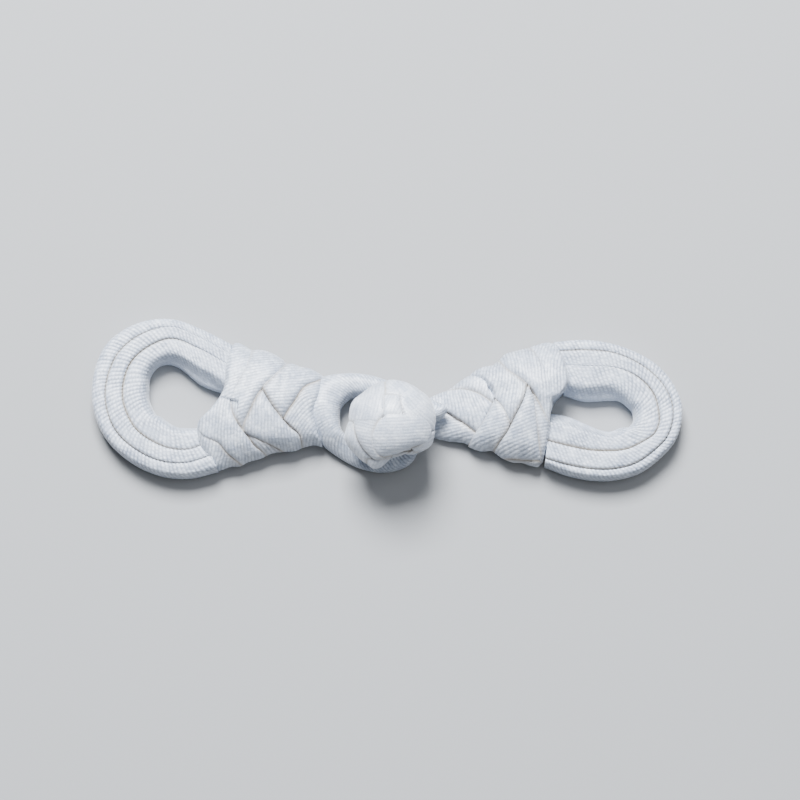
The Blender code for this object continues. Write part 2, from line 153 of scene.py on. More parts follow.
LEFT_FAR_EDGE = (
    Point(-18.6, 6.5), Point(-17.9, 6.9), Point(-17.1, 6.6), Point(-16.1, 6.0), Point(-15.2, 6.0),
    Point(-14.3, 5.8), Point(-13.2, 5.3), Point(-12.3, 4.7), Point(-12.0, 4.3), Point(-11.3, 4.3),
    Point(-10.2, 3.9), Point(-9.1, 3.7), Point(-8.3, 3.3), Point(-7.4, 2.7),
)
LEFT_NEAR_EDGE = (
    Point(-20.0, -8.6), Point(-19.3, -8.4), Point(-18.5, -8.1), Point(-17.2, -8.0), Point(-16.5, -7.6),
    Point(-14.8, -7.1), Point(-13.8, -6.6), Point(-12.0, -6.3), Point(-10.9, -6.2), Point(-9.9, -5.8),
    Point(-8.5, -5.5), Point(-7.6, -5.7),
)
LEFT_EYE_END = (
    Point(-18.6, 6.5), Point(-19.0, 3.6), Point(-19.2, 0.7), Point(-20.6, -1.5), Point(-22.2, -3.4),
    Point(-21.9, -5.6), Point(-20.0, -8.6),
)
LEFT_LOOP_END = (
    Point(-7.4, 2.7), Point(-7.8, 0.4), Point(-8.6, -1.8), Point(-8.3, -4.0), Point(-7.6, -5.7),
)

RIGHT_FAR_EDGE = (
    Point(9.7, 2.8), Point(10.2, 3.3), Point(11.3, 3.9), Point(12.5, 4.1), Point(13.2, 4.6),
    Point(14.0, 5.4), Point(15.6, 5.9), Point(17.0, 6.3), Point(17.9, 6.6), Point(19.2, 6.9),
    Point(20.0, 6.7),
)
RIGHT_NEAR_EDGE = (
    Point(9.6, -5.6), Point(10.4, -6.0), Point(11.3, -6.25), Point(12.4, -6.2), Point(12.8, -6.5),
    Point(13.8, -7.2), Point(14.8, -7.6), Point(16.1, -7.7), Point(17.0, -8.0), Point(17.8, -8.1),
    Point(18.4, -7.5),
)
RIGHT_EYE_END = (
    Point(20.0, 6.7), Point(21.1, 3.6), Point(21.3, 1.4), Point(20.6, 0.2), Point(19.5, -0.5),
    Point(19.3, -1.6), Point(18.9, -5.0), Point(18.4, -7.5),
)
RIGHT_NECK_END = (
    Point(9.7, 2.8), Point(10.9, 2.3), Point(12.0, 1.2), Point(12.6, 0.1), Point(12.0, -1.2),
    Point(11.1, -2.6), Point(10.3, -3.9), Point(9.6, -5.6),
)

NECK_FAR_EDGE = (
    Point(0.9, -1.2), Point(3.3, -0.7), Point(5.3, 0.5), Point(6.2, 0.9), Point(7.5, 1.4),
    Point(8.3, 2.0), Point(9.0, 2.5), Point(9.7, 2.9), Point(10.5, 3.0),
)
NECK_NEAR_EDGE = (
    Point(0.9, -3.7), Point(3.3, -3.9), Point(5.3, -4.4), Point(7.2, -4.9), Point(9.2, -5.2),
    Point(9.7, -5.4), Point(10.6, -5.5),
)
NECK_KNOT_END = (Point(0.9, -1.2), Point(0.7, -2.5), Point(0.9, -3.7))
NECK_BODY_END = (
    Point(10.5, 3.0), Point(12.2, 1.6), Point(13.0, 0.0), Point(12.4, -1.5), Point(11.5, -3.2),
    Point(10.6, -5.5),
)


@dataclass(frozen=True)
class Strand:
    """A flat strand of a plait.

    The rib lines run at ribs_deg at the strand's middle, from +X towards +Y. They turn by curve
    radians for each millimetre along them, and by fan radians for each millimetre across them.
    """

    name: str
    ribs_deg: float
    curve: float
    fan: float
    sections: tuple[Section, ...]


LEFT_STRANDS = (
    Strand("loop_root", 45.0, -0.20, 0.0, (
        Section(-12.1, -2.3, -12.2, -2.8, 0.40, 0.0, 0.0), Section(-10.4, 0.3, -10.3, -4.6, 0.50, 0.0, 0.0),
        Section(-8.2, 2.8, -9.6, -6.9, 0.50, 0.0, 0.0), Section(-5.6, 3.6, -6.8, -7.6, 0.40, 0.0, 0.0),
    )),
    Strand("far_lap", 7.0, 0.02, 0.0, (
        Section(-12.8, 5.8, -6.5, 3.4, 0.50, 0.0, 0.9), Section(-13.9, 2.2, -8.2, 1.9, 0.80, 0.0, 0.9),
        Section(-15.3, 0.7, -9.8, 0.9, 0.90, 0.0, 1.0), Section(-14.9, -0.6, -10.8, -0.7, 0.90, 0.0, 1.0),
        Section(-13.6, -1.8, -11.6, -1.9, 0.80, 0.0, 1.0), Section(-12.3, -2.9, -12.2, -2.9, 0.60, 0.0, 1.0),
    )),
    Strand("near_fold", -38.0, 0.0, 0.0, (
        Section(-17.4, -3.6, -14.8, -4.4, 0.40, 0.5, 0.0), Section(-16.2, -5.2, -13.3, -5.9, 0.45, 0.5, 0.0),
        Section(-14.6, -6.8, -11.3, -6.9, 0.35, 0.5, 0.0), Section(-13.2, -8.1, -10.3, -8.1, 0.30, 0.5, 0.0),
    )),
    Strand("near_cross", 92.0, -0.06, 0.0, (
        Section(-14.8, 0.8, -14.7, 0.8, 0.60, 0.0, 1.0), Section(-15.9, -0.8, -13.8, -0.8, 0.75, 0.0, 1.0),
        Section(-17.0, -2.5, -12.5, -2.6, 0.85, 0.0, 1.0), Section(-17.1, -4.1, -11.4, -3.8, 0.85, 0.3, 1.0),
        Section(-15.4, -5.1, -10.3, -4.7, 0.80, 0.7, 0.9), Section(-13.6, -5.8, -10.0, -6.1, 0.65, 0.8, 0.8),
        Section(-11.5, -6.6, -9.6, -7.2, 0.50, 0.8, 0.7),
    )),
    Strand("far_cross", 15.0, 0.0, -0.04, (
        Section(-16.0, 7.1, -11.3, 5.3, 0.50, 0.0, 0.5), Section(-17.2, 3.4, -12.8, 2.7, 0.85, 0.0, 0.5),
        Section(-18.1, 1.1, -14.6, 0.7, 0.95, 0.0, 0.9), Section(-18.7, -0.6, -15.5, -0.8, 0.95, 0.0, 1.0),
        Section(-18.3, -2.3, -16.2, -2.4, 0.90, 0.0, 1.0), Section(-17.6, -3.7, -16.8, -3.7, 0.80, 0.0, 1.0),
        Section(-17.0, -4.3, -16.9, -4.3, 0.70, 0.0, 1.0),
    )),
    Strand("eye_lap", 79.0, 0.03, 0.0, (
        Section(-19.6, -0.4, -17.4, -0.9, 0.50, 0.0, 0.0), Section(-21.5, -2.3, -17.5, -3.5, 0.55, 0.0, 0.0),
        Section(-23.4, -4.7, -17.0, -5.4, 0.50, 0.0, 0.0), Section(-23.6, -6.7, -16.6, -7.0, 0.40, 0.0, 0.0),
        Section(-22.2, -9.5, -16.3, -8.6, 0.30, 0.0, 0.0),
    )),
    Strand("near_under", 89.0, -0.03, 0.0, (
        Section(-19.1, 0.3, -18.4, -0.6, 0.60, 0.0, 0.1), Section(-21.0, -1.7, -18.0, -2.5, 0.65, 0.0, 0.9),
        Section(-22.2, -3.6, -17.0, -4.1, 0.70, 0.0, 1.0), Section(-21.5, -4.8, -16.2, -5.1, 0.70, 0.2, 1.0),
        Section(-19.7, -5.7, -15.5, -6.0, 0.70, 0.7, 1.0), Section(-18.7, -6.8, -14.5, -6.7, 0.60, 0.9, 0.9),
        Section(-16.5, -8.3, -13.2, -7.5, 0.45, 0.9, 0.8),
    )),
    Strand("far_tuck", 17.0, 0.0, -0.045, (
        Section(-19.6, 7.6, -15.8, 7.1, 0.50, 0.0, 0.5), Section(-19.9, 3.5, -16.6, 3.2, 0.90, 0.0, 0.25),
        Section(-20.0, 1.2, -17.7, 1.0, 0.90, 0.0, 0.2), Section(-19.6, -0.2, -18.3, -0.7, 0.75, 0.0, 0.0),
    )),
)

RIGHT_STRANDS = (
    Strand("near_root", 14.0, 0.0, -0.05, (
        Section(12.6, -0.4, 12.7, -0.4, 0.60, 1.0, 0.0), Section(11.9, -1.9, 13.8, -1.8, 0.75, 1.0, 0.0),
        Section(11.1, -3.3, 14.4, -3.2, 0.80, 1.0, 0.0), Section(10.3, -4.4, 14.1, -4.4, 0.75, 1.0, 0.0),
        Section(9.5, -5.8, 13.3, -5.5, 0.60, 1.0, 0.0), Section(8.7, -7.1, 12.5, -7.1, 0.40, 1.0, 0.0),
    )),
    Strand("far_cross", 83.0, 0.0, -0.02, (
        Section(8.9, 3.5, 13.6, 5.6, 0.50, 0.7, 0.0), Section(11.0, 1.7, 15.1, 3.0, 0.85, 0.7, 0.0),
        Section(12.3, 0.1, 16.5, 1.1, 0.95, 0.8, 0.0), Section(13.4, -1.3, 15.9, -0.8, 0.95, 0.5, 0.0),
        Section(14.1, -2.7, 15.1, -2.5, 0.90, 0.6, 0.0), Section(14.5, -3.7, 14.6, -3.7, 0.70, 1.0, 0.0),
    )),
    Strand("near_edge", 13.0, 0.0, 0.0, (
        Section(16.7, 0.2, 17.9, -0.3, 0.60, 0.0, 0.4), Section(17.1, -1.8, 18.9, -2.0, 0.65, 0.0, 0.2),
        Section(17.3, -3.7, 19.6, -3.9, 0.65, 0.0, 0.2), Section(17.4, -5.3, 19.6, -5.5, 0.60, 0.0, 0.2),
        Section(17.2, -7.1, 19.3, -7.1, 0.50, 0.0, 0.2), Section(17.0, -8.6, 19.1, -8.3, 0.40, 0.0, 0.2),
    )),
    Strand("near_cross", 21.0, 0.02, -0.02, (
        Section(16.5, 1.2, 16.6, 1.2, 0.60, 1.0, 0.2), Section(15.9, -0.8, 17.2, -0.7, 0.75, 0.7, 0.4),
        Section(15.0, -2.6, 17.4, -2.5, 0.80, 0.9, 0.4), Section(14.2, -4.2, 17.6, -4.2, 0.80, 1.0, 0.5),
        Section(13.1, -5.7, 17.8, -5.8, 0.70, 1.0, 0.8), Section(12.2, -7.1, 18.1, -7.6, 0.40, 1.0, 0.5),
    )),
    Strand("far_lap", 94.0, 0.01, 0.0, (
        Section(12.6, 5.9, 18.1, 7.3, 0.50, 0.7, 0.0), Section(14.2, 3.1, 19.3, 4.7, 0.80, 0.7, 0.0),
        Section(15.7, 1.8, 20.3, 2.6, 0.90, 0.9, 0.0), Section(17.0, 0.5, 20.8, 0.9, 0.85, 1.0, 0.0),
        Section(17.7, -0.8, 20.6, -0.5, 0.80, 1.0, 0.0), Section(18.3, -1.9, 20.0, -1.7, 0.70, 0.8, 0.0),
        Section(18.9, -3.1, 19.6, -2.6, 0.60, 0.4, 0.2),
    )),
    Strand("eye_lap", 84.0, -0.09, 0.0, (
        Section(16.7, 6.6, 20.8, 7.3, 0.50, 0.9, 0.0), Section(17.8, 4.6, 21.7, 4.2, 0.85, 0.3, 0.0),
        Section(18.6, 2.7, 22.5, 2.2, 0.90, 0.0, 0.0), Section(19.2, 0.8, 22.2, 0.3, 0.85, 0.0, 0.0),
        Section(19.2, -0.9, 20.9, -0.9, 0.75, 0.0, 0.0),
    )),
)

NECK_STRANDS = (
    Strand("near_run", 10.0, 0.0, 0.0, (
        Section(2.1, -2.2, 2.1, -4.2, 0.20, 0.4, 0.0), Section(5.9, -2.2, 5.9, -5.1, 0.30, 0.4, 0.0),
        Section(7.7, -2.5, 7.7, -5.8, 0.35, 0.4, 0.0), Section(9.8, -3.3, 9.6, -6.5, 0.35, 0.4, 0.0),
        Section(11.7, -4.1, 11.3, -7.3, 0.30, 0.4, 0.0),
    )),
    Strand("top_run", 82.0, 0.0, 0.0, (
        Section(2.7, 0.6, 2.7, -1.0, 0.30, 0.0, 0.0), Section(6.3, 1.9, 7.0, 0.2, 0.45, 0.0, 0.0),
        Section(8.1, 2.7, 8.9, 0.0, 0.60, 0.0, 0.0), Section(9.4, 3.6, 10.6, -0.5, 0.65, 0.0, 0.0),
        Section(11.0, 4.2, 12.5, -1.0, 0.60, 0.0, 0.0),
    )),
    Strand("far_run", 97.0, 0.0, -0.08, (
        Section(2.7, 0.1, 2.7, -1.8, 0.30, 0.3, 0.8), Section(5.6, 0.9, 6.3, -1.2, 0.45, 0.4, 0.9),
        Section(7.7, 1.1, 8.5, -2.6, 0.65, 0.5, 1.0), Section(9.4, 0.9, 10.1, -3.9, 0.75, 0.6, 1.0),
        Section(10.8, 0.3, 11.0, -4.5, 0.70, 0.7, 1.0), Section(12.6, -1.0, 12.4, -5.2, 0.60, 0.7, 1.0),
    )),
)

LEFT_HEIGHTS = (4.1, 4.4, 4.7, 4.8, 4.6, 4.3, 3.9)
RIGHT_HEIGHTS = (3.6, 4.1, 4.6, 4.8, 4.8, 4.6, 4.2)
NECK_HEIGHTS = (1.3, 1.4, 1.6, 1.9, 2.5, 3.2, 3.5)

LOOP_SECTIONS = (
    LoopSection(-9.6, -1.6, -5.6, -2.4, 0.0, 4.1, 0.0),
    LoopSection(-7.9, 2.4, -5.2, -0.7, 0.0, 3.8, 0.0),
    LoopSection(-5.0, 3.1, -3.9, 0.3, 0.0, 3.4, 0.0),
    LoopSection(-2.1, 2.9, -1.9, 0.2, 0.0, 3.3, 0.0),
    LoopSection(0.7, 2.0, 0.2, -0.2, 0.2, 3.3, 0.0),
    LoopSection(2.6, 1.3, 1.8, -0.6, 0.8, 3.5, 0.0),
    LoopSection(4.4, 0.2, 3.3, -1.4, 1.6, 4.0, 0.0),
    LoopSection(5.9, -0.7, 4.6, -2.2, 2.3, 4.6, 0.0),
    LoopSection(7.1, -1.6, 5.3, -2.3, 2.9, 5.0, 0.0),
    LoopSection(6.7, -2.5, 4.9, -2.6, 2.6, 4.7, 0.0),
    LoopSection(5.0, -3.2, 3.6, -3.0, 1.7, 3.3, 0.0),
    LoopSection(4.0, -5.5, 2.8, -4.6, 1.0, 2.7, 0.1),
    LoopSection(2.8, -7.6, 1.8, -5.4, 0.2, 2.2, 0.2),
    LoopSection(0.1, -8.6, -0.1, -6.0, 0.0, 2.1, 0.3),
    LoopSection(-3.0, -8.2, -2.5, -5.6, 0.0, 2.4, 0.4),
    LoopSection(-5.6, -6.9, -4.2, -4.6, 0.0, 3.1, 0.45),
    LoopSection(-8.0, -5.0, -5.2, -4.0, 0.0, 3.9, 0.3),
)

KNOT_RIM = (
    Reach(90.0, 5.33), Reach(69.0, 5.23), Reach(46.0, 5.20), Reach(33.0, 5.32), Reach(16.0, 5.25),
    Reach(-1.0, 5.13), Reach(-10.0, 5.20), Reach(-30.0, 5.31), Reach(-41.0, 5.05), Reach(-54.0, 4.65),
    Reach(-72.0, 4.05), Reach(-90.0, 4.15), Reach(-100.0, 4.90), Reach(-107.0, 5.75), Reach(-115.0, 5.95),
    Reach(-123.0, 5.80), Reach(-135.0, 5.70), Reach(-150.0, 5.85), Reach(-162.0, 5.95), Reach(-177.0, 5.35),
    Reach(167.0, 5.25), Reach(151.0, 5.45), Reach(136.0, 5.05), Reach(119.0, 5.10), Reach(102.0, 5.35),
)

KNOT_STRANDS = (
    Strand("far_band", -42.0, 0.0, 0.0, (
        Section(-1.1, 6.2, -1.0, 3.8, 0.55, 0.0, 0.5), Section(0.9, 6.4, 0.8, 3.6, 0.60, 0.0, 0.5),
        Section(3.2, 5.5, 2.2, 2.9, 0.65, 0.0, 0.5), Section(5.1, 3.5, 3.3, 1.9, 0.65, 0.0, 0.5),
        Section(6.2, 1.2, 4.4, 0.6, 0.60, 0.0, 0.4),
    )),
    Strand("upper_left", 76.0, 0.0, 0.0, (
        Section(-3.3, 5.9, -1.0, 5.5, 0.60, 0.0, 0.7), Section(-5.2, 4.3, -0.9, 4.0, 0.75, 0.0, 0.8),
        Section(-6.1, 2.7, -1.0, 2.4, 0.80, 0.0, 0.8), Section(-6.6, 0.8, -1.2, 1.0, 0.75, 0.0, 0.5),
        Section(-6.6, 0.0, -1.7, 0.3, 0.65, 0.0, 0.3),
    )),
    Strand("upper_middle", 64.0, 0.0, 0.0, (
        Section(-1.0, 3.6, 0.9, 3.6, 0.60, 0.4, 0.3), Section(-1.0, 2.4, 1.2, 2.3, 0.75, 0.4, 0.4),
        Section(-1.1, 1.0, 1.3, 1.0, 0.70, 0.4, 0.4),
    )),
    Strand("right_lap", -46.0, 0.0, 0.0, (
        Section(1.0, 3.3, 4.1, 3.8, 0.70, 0.4, 0.0), Section(1.2, 2.3, 6.0, 2.3, 0.80, 0.5, 0.0),
        Section(1.5, 1.3, 6.2, 0.6, 0.80, 0.5, 0.0), Section(1.7, 0.5, 6.0, -1.3, 0.70, 0.4, 0.0),
    )),
    Strand("lower_left", -12.0, 0.0, 0.0, (
        Section(-4.7, 0.5, -1.7, 0.5, 0.65, 0.0, 0.0), Section(-4.7, -0.6, -1.5, -0.6, 0.72, 0.1, 0.0),
        Section(-4.4, -1.7, -1.2, -2.0, 0.80, 0.3, 0.0), Section(-3.7, -3.0, -0.5, -3.1, 0.80, 0.3, 0.0),
        Section(-2.8, -4.0, -0.1, -4.3, 0.75, 0.3, 0.8), Section(-2.2, -4.8, -0.3, -5.0, 0.70, 0.3, 0.8),
    )),
    Strand("left_band", 88.0, 0.0, 0.0, (
        Section(-6.6, 0.6, -4.8, 0.2, 0.70, 0.0, 0.5), Section(-6.8, -0.6, -4.7, -0.7, 0.85, 0.0, 1.0),
        Section(-6.8, -1.9, -4.4, -1.7, 0.90, 0.0, 1.0), Section(-6.1, -3.6, -3.7, -3.0, 0.90, 0.0, 1.0),
        Section(-4.7, -5.2, -2.8, -4.0, 0.85, 0.0, 1.0), Section(-3.5, -6.2, -2.2, -4.8, 0.80, 0.0, 1.0),
    )),
    Strand("toe", 60.0, 0.0, 0.0, (
        Section(-3.1, -4.4, -0.1, -4.4, 0.70, 0.7, 0.8), Section(-3.1, -5.2, -0.1, -4.9, 0.85, 0.8, 0.8),
        Section(-2.8, -6.2, -0.1, -5.9, 0.70, 0.5, 0.5),
    )),
    Strand("near_lobe", 20.0, 0.0, 0.0, (
        Section(2.5, -1.9, 5.5, -0.8, 0.75, 0.3, 0.0), Section(2.4, -2.8, 5.5, -2.4, 0.85, 0.7, 0.0),
        Section(2.7, -3.5, 4.6, -3.8, 0.70, 0.8, 0.0),
    )),
    Strand("middle", 2.0, 0.0, 0.0, (
        Section(-0.9, 1.1, 1.2, 1.2, 0.82, 0.7, 0.2), Section(-1.8, 0.2, 3.7, 0.6, 0.85, 0.7, 0.0),
        Section(-2.3, -1.0, 4.6, -0.7, 0.85, 0.4, 0.0), Section(-2.3, -2.4, 4.0, -2.1, 0.85, 0.2, 0.0),
        Section(-1.8, -3.6, 2.5, -2.9, 0.85, 0.5, 0.9), Section(-1.0, -4.1, 0.6, -3.8, 0.75, 0.9, 0.9),
    )),
)


def srgb(code: str) -> tuple[float, float, float, float]:
    """Turns an sRGB hex code into a linear colour.

    Args:
        code: six hex digits, such as "f2f4f6".

    Returns:
        Red, green, blue and an alpha of 1.
    """
    values = [int(code[index:index + 2], 16) / 255 for index in (0, 2, 4)]
    linear = [v / 12.92 if v <= 0.04045 else ((v + 0.055) / 1.055) ** 2.4 for v in values]
    return (*linear, 1.0)


def smooth_rows(rows: tuple, count: int, closed: bool = False, plan: int = 2) -> np.ndarray:
    """Reads evenly spaced rows from a smooth curve through a table's rows.

    Args:
        rows: the table, whose first columns are places in plan.
        count: how many rows to read.
        closed: whether the curve returns to its first row.
        plan: how many columns the way between rows is measured in.

    Returns:
        An array of count rows with the table's columns.
    """
    table = np.array([tuple(row) for row in rows], dtype=float)
    if closed:
        table = np.vstack([table, table[:1]])
    steps = np.linalg.norm(np.diff(table[:, :plan], axis=0), axis=1)
    station = np.concatenate([[0.0], np.cumsum(steps)])
    slopes = np.gradient(table, station, axis=0)
    if closed:
        slopes[0] = slopes[-1] = ((table[-1] - table[-2]) / steps[-1] + (table[1] - table[0]) / steps[0]) / 2
    wanted = np.linspace(0.0, station[-1], count + 1 if closed else count)
    wanted = wanted[:-1] if closed else wanted
    first = np.clip(np.searchsorted(station, wanted, side="right") - 1, 0, len(steps) - 1)
    length = steps[first][:, None]
    part = ((wanted - station[first]) / steps[first])[:, None]
    return (
        table[first] * (2 * part**3 - 3 * part**2 + 1)
        + slopes[first] * length * (part**3 - 2 * part**2 + part)
        + table[first + 1] * (3 * part**2 - 2 * part**3)
        + slopes[first + 1] * length * (part**3 - part**2)
    )


def arc_lengths(points: np.ndarray) -> np.ndarray:
    """Gives the distance along a line of points to each of them."""
    return np.concatenate([[0.0], np.cumsum(np.linalg.norm(np.diff(points, axis=0), axis=1))])


def add_node(tree: bpy.types.NodeTree, kind: str, settings: dict, feeds: dict) -> bpy.types.Node:
    """Adds a node to a tree.

    Args:
        tree: the tree that gets the node.
        kind: the node's type name.
        settings: properties to set, by name.
        feeds: values or output sockets, by the name or number of the input that takes each.

    Returns:
        The new node.
    """
    node = tree.nodes.new(kind)
    for name, value in settings.items():
        setattr(node, name, value)
    for key, feed in feeds.items():
        if isinstance(feed, bpy.types.NodeSocket):
            tree.links.new(feed, node.inputs[key])
        else:
            node.inputs[key].default_value = feed
    return node


def math_node(
    tree: bpy.types.NodeTree, operation: str, first: Feed, second: Feed = 0.0,
) -> bpy.types.NodeSocket:
    """Adds a math node.

    Args:
        tree: the tree that gets the node.
        operation: what it does.
        first: its first value or socket.
        second: its second value or socket.

    Returns:
        The node's output.
    """
    return add_node(tree, "ShaderNodeMath", {"operation": operation}, {0: first, 1: second}).outputs[0]


def mix_colours(
    tree: bpy.types.NodeTree, part: Feed, first: object, second: object, blend: str = "MIX",
) -> bpy.types.NodeSocket:
    """Adds a node that mixes two colours.

    Args:
        tree: the tree that gets the node.
        part: how much of the second colour there is.
        first: the first colour or socket.
        second: the second colour or socket.
        blend: how they mix.

    Returns:
        The mixed colour.
    """
    settings = {"data_type": "RGBA", "blend_type": blend}
    return add_node(tree, "ShaderNodeMix", settings, {0: part, 6: first, 7: second}).outputs[2]


def swell_node(tree: bpy.types.NodeTree, turns: bpy.types.NodeSocket) -> bpy.types.NodeSocket:
    """Adds nodes that swell from 0 at whole turns to 1 between them.

    Args:
        tree: the tree that gets the nodes.
        turns: a number of turns.

    Returns:
        The output of the last node.
    """
    angle = math_node(tree, "MULTIPLY", turns, 2 * math.pi)
    half_wave = math_node(tree, "MULTIPLY", math_node(tree, "COSINE", angle), 0.5)
    return math_node(tree, "SUBTRACT", 0.5, half_wave)


def weave_nodes(
    tree: bpy.types.NodeTree, place: bpy.types.NodeSocket, pitch: Feed, float_length: Feed,
) -> tuple:
    """Adds the nodes that find the rib and the thread float at a place on the cloth.

    Args:
        tree: the tree that gets the nodes.
        place: the weave attribute.
        pitch: the distance between ribs.
        float_length: the length of a thread float along its rib.

    Returns:
        How far up its rib the place is, how far from its float's ends, a chance value for each float,
        and the attribute's strength.
    """
    parts = add_node(tree, "ShaderNodeSeparateXYZ", {}, {0: place}).outputs
    rib = math_node(tree, "DIVIDE", parts["Y"], pitch)
    number = math_node(tree, "FLOOR", rib)
    shift = add_node(tree, "ShaderNodeTexWhiteNoise", {"noise_dimensions": "1D"}, {"W": number})
    run = math_node(tree, "ADD", math_node(tree, "DIVIDE", parts["X"], float_length), shift.outputs["Value"])
    cell = add_node(tree, "ShaderNodeCombineXYZ", {}, {0: number, 1: math_node(tree, "FLOOR", run)})
    chance = add_node(
        tree, "ShaderNodeTexWhiteNoise", {"noise_dimensions": "3D"}, {"Vector": cell.outputs[0]},
    )
    return swell_node(tree, rib), swell_node(tree, run), chance.outputs["Value"], parts["Z"]


@dataclass
class Surface:
    """A closed surface in millimetres, with a weave place and an amount of painted crease shade at each
    point.
    """

    points: np.ndarray
    faces: list
    weave: np.ndarray
    seam: np.ndarray

    def to_object(self, name: str) -> bpy.types.Object:
        """Makes the surface a mesh object at the origin, with its faces outward.

        Args:
            name: the object's and mesh's name.

        Returns:
            The object, linked to the scene.
        """
        mesh = bpy.data.meshes.new(name)
        mesh.from_pydata((self.points * MM).tolist(), [], self.faces)
        builder = bmesh.new()
        builder.from_mesh(mesh)
        bmesh.ops.recalc_face_normals(builder, faces=builder.faces)
        builder.to_mesh(mesh)
        builder.free()
        weave = mesh.attributes.new("weave", "FLOAT_VECTOR", "POINT")
        weave.data.foreach_set("vector", self.weave.astype(np.float32).ravel())
        # The amount of painted crease shade at each point.
        seam = mesh.attributes.new("seam", "FLOAT", "POINT")
        seam.data.foreach_set("value", self.seam.astype(np.float32))
        mesh.shade_smooth()
        obj = bpy.data.objects.new(name, mesh)
        bpy.context.scene.collection.objects.link(obj)
        return obj


@dataclass(frozen=True)
class SatinFinish:
    """A ribbed satin weave of fine white filament thread.

    The threads lie along the ribs as short floats of uneven tone. The dips between the ribs get painted
    shade towards a bluish grey, and dash says how much painted shade darkens a float's ends. The contrast
    is how strong that painted rib shade is, and it changes from patch to patch. The creases get a beige
    painted shade. The lengths are in millimetres, and the weave attribute carries the place on the cloth.
    """

    name: str
    bright: str
    second: str
    # The next two are colours of painted shade: the first in the rib dips and at float ends, the second in
    # creases between strands and rows.
    rib_shade: str
    seam: str
    rib_pitch: float
    float_length: float
    dash: float
    contrast: float
    roughness: float
    bump: float
    sheen: float = 0.35

    def build(self) -> bpy.types.Material:
        """Builds the material.

        Returns:
            The node material, named for the finish.
        """
        material = bpy.data.materials.new(self.name)
        material.use_nodes = True
        tree = material.node_tree
        shader = tree.nodes["Principled BSDF"]
        place = add_node(tree, "ShaderNodeAttribute", {"attribute_name": "weave"}, {})
        seam = add_node(tree, "ShaderNodeAttribute", {"attribute_name": "seam"}, {})
        ridge, crown, chance, strength = weave_nodes(
            tree, place.outputs["Vector"], self.rib_pitch, self.float_length,
        )
        # Painted shade: each place sinks from the thread colour towards the rib shade colour in the rib dips
        # and at float ends, more strongly in some patches than in others.
        ends = math_node(tree, "POWER", crown, 0.5)
        dashed = math_node(tree, "ADD", math_node(tree, "MULTIPLY", ends, self.dash), 1.0 - self.dash)
        top = math_node(tree, "MULTIPLY", math_node(tree, "POWER", ridge, 0.7), dashed)
        patches = self.noise(tree, 0.8 / MM)
        patch = add_node(tree, "ShaderNodeMapRange", {}, {0: patches, 1: 0.35, 2: 0.65, 3: 0.45, 4: 1.0})
        held = math_node(tree, "MULTIPLY", patch.outputs[0], self.contrast)
        painted_rib_shade = math_node(tree, "MULTIPLY", math_node(tree, "SUBTRACT", 1.0, top), held)
        unshaded = math_node(tree, "SUBTRACT", 1.0, painted_rib_shade)
        seen = add_node(tree, "ShaderNodeMix", {"data_type": "FLOAT"}, {0: strength, 2: 0.8, 3: unshaded})
        thread = mix_colours(tree, chance, srgb(self.bright), srgb(self.second))
        tone = mix_colours(tree, seen.outputs[0], srgb(self.rib_shade), thread)
        for scale, low in ((0.45 / MM, "eceef2"), (5.5 / MM, "dce0e8")):
            tone = mix_colours(tree, 1.0, tone, self.drift(tree, scale, low), "MULTIPLY")
        # Painted shade: beige is mixed in where strands cover one another and where rows meet.
        crease_shaded_colour = mix_colours(tree, seam.outputs["Fac"], tone, srgb(self.seam))
        bump = add_node(
            tree, "ShaderNodeBump", {},
            {"Height": seen.outputs[0], "Strength": self.bump, "Distance": 0.03 * MM},
        )
        tree.links.new(crease_shaded_colour, shader.inputs["Base Color"])
        tree.links.new(bump.outputs["Normal"], shader.inputs["Normal"])
        shader.inputs["Roughness"].default_value = self.roughness
        shader.inputs["IOR"].default_value = 1.54
        shader.inputs["Sheen Weight"].default_value = self.sheen
        shader.inputs["Sheen Roughness"].default_value = 0.4
        return material

    @staticmethod
    def noise(tree: bpy.types.NodeTree, scale: float) -> bpy.types.NodeSocket:
        """Adds noise in the object's own space.

        Args:
            tree: the material's tree.
            scale: how many patches there are in a metre.

        Returns:
            The noise, from 0 to 1.
        """
        place = add_node(tree, "ShaderNodeTexCoord", {}, {})
        settings = {"Vector": place.outputs["Object"], "Scale": scale, "Detail": 2.0, "Roughness": 0.6}
        return add_node(tree, "ShaderNodeTexNoise", {}, settings).outputs["Fac"]

    def drift(self, tree: bpy.types.NodeTree, scale: float, low: str) -> bpy.types.NodeSocket:
        """Adds the change of tone that uneven threads give.

        Args:
            tree: the material's tree.
            scale: how many patches there are in a metre.
            low: the colour of the darkest patches.

        Returns:
            The colour to multiply the thread's colour by.
        """
        ramp = add_node(tree, "ShaderNodeValToRGB", {}, {"Fac": self.noise(tree, scale)})
        ramp.color_ramp.elements[0].position = 0.35
        ramp.color_ramp.elements[0].color = srgb(low)
        ramp.color_ramp.elements[1].position = 0.65
        ramp.color_ramp.elements[1].color = srgb("ffffff")
        return ramp.outputs["Color"]


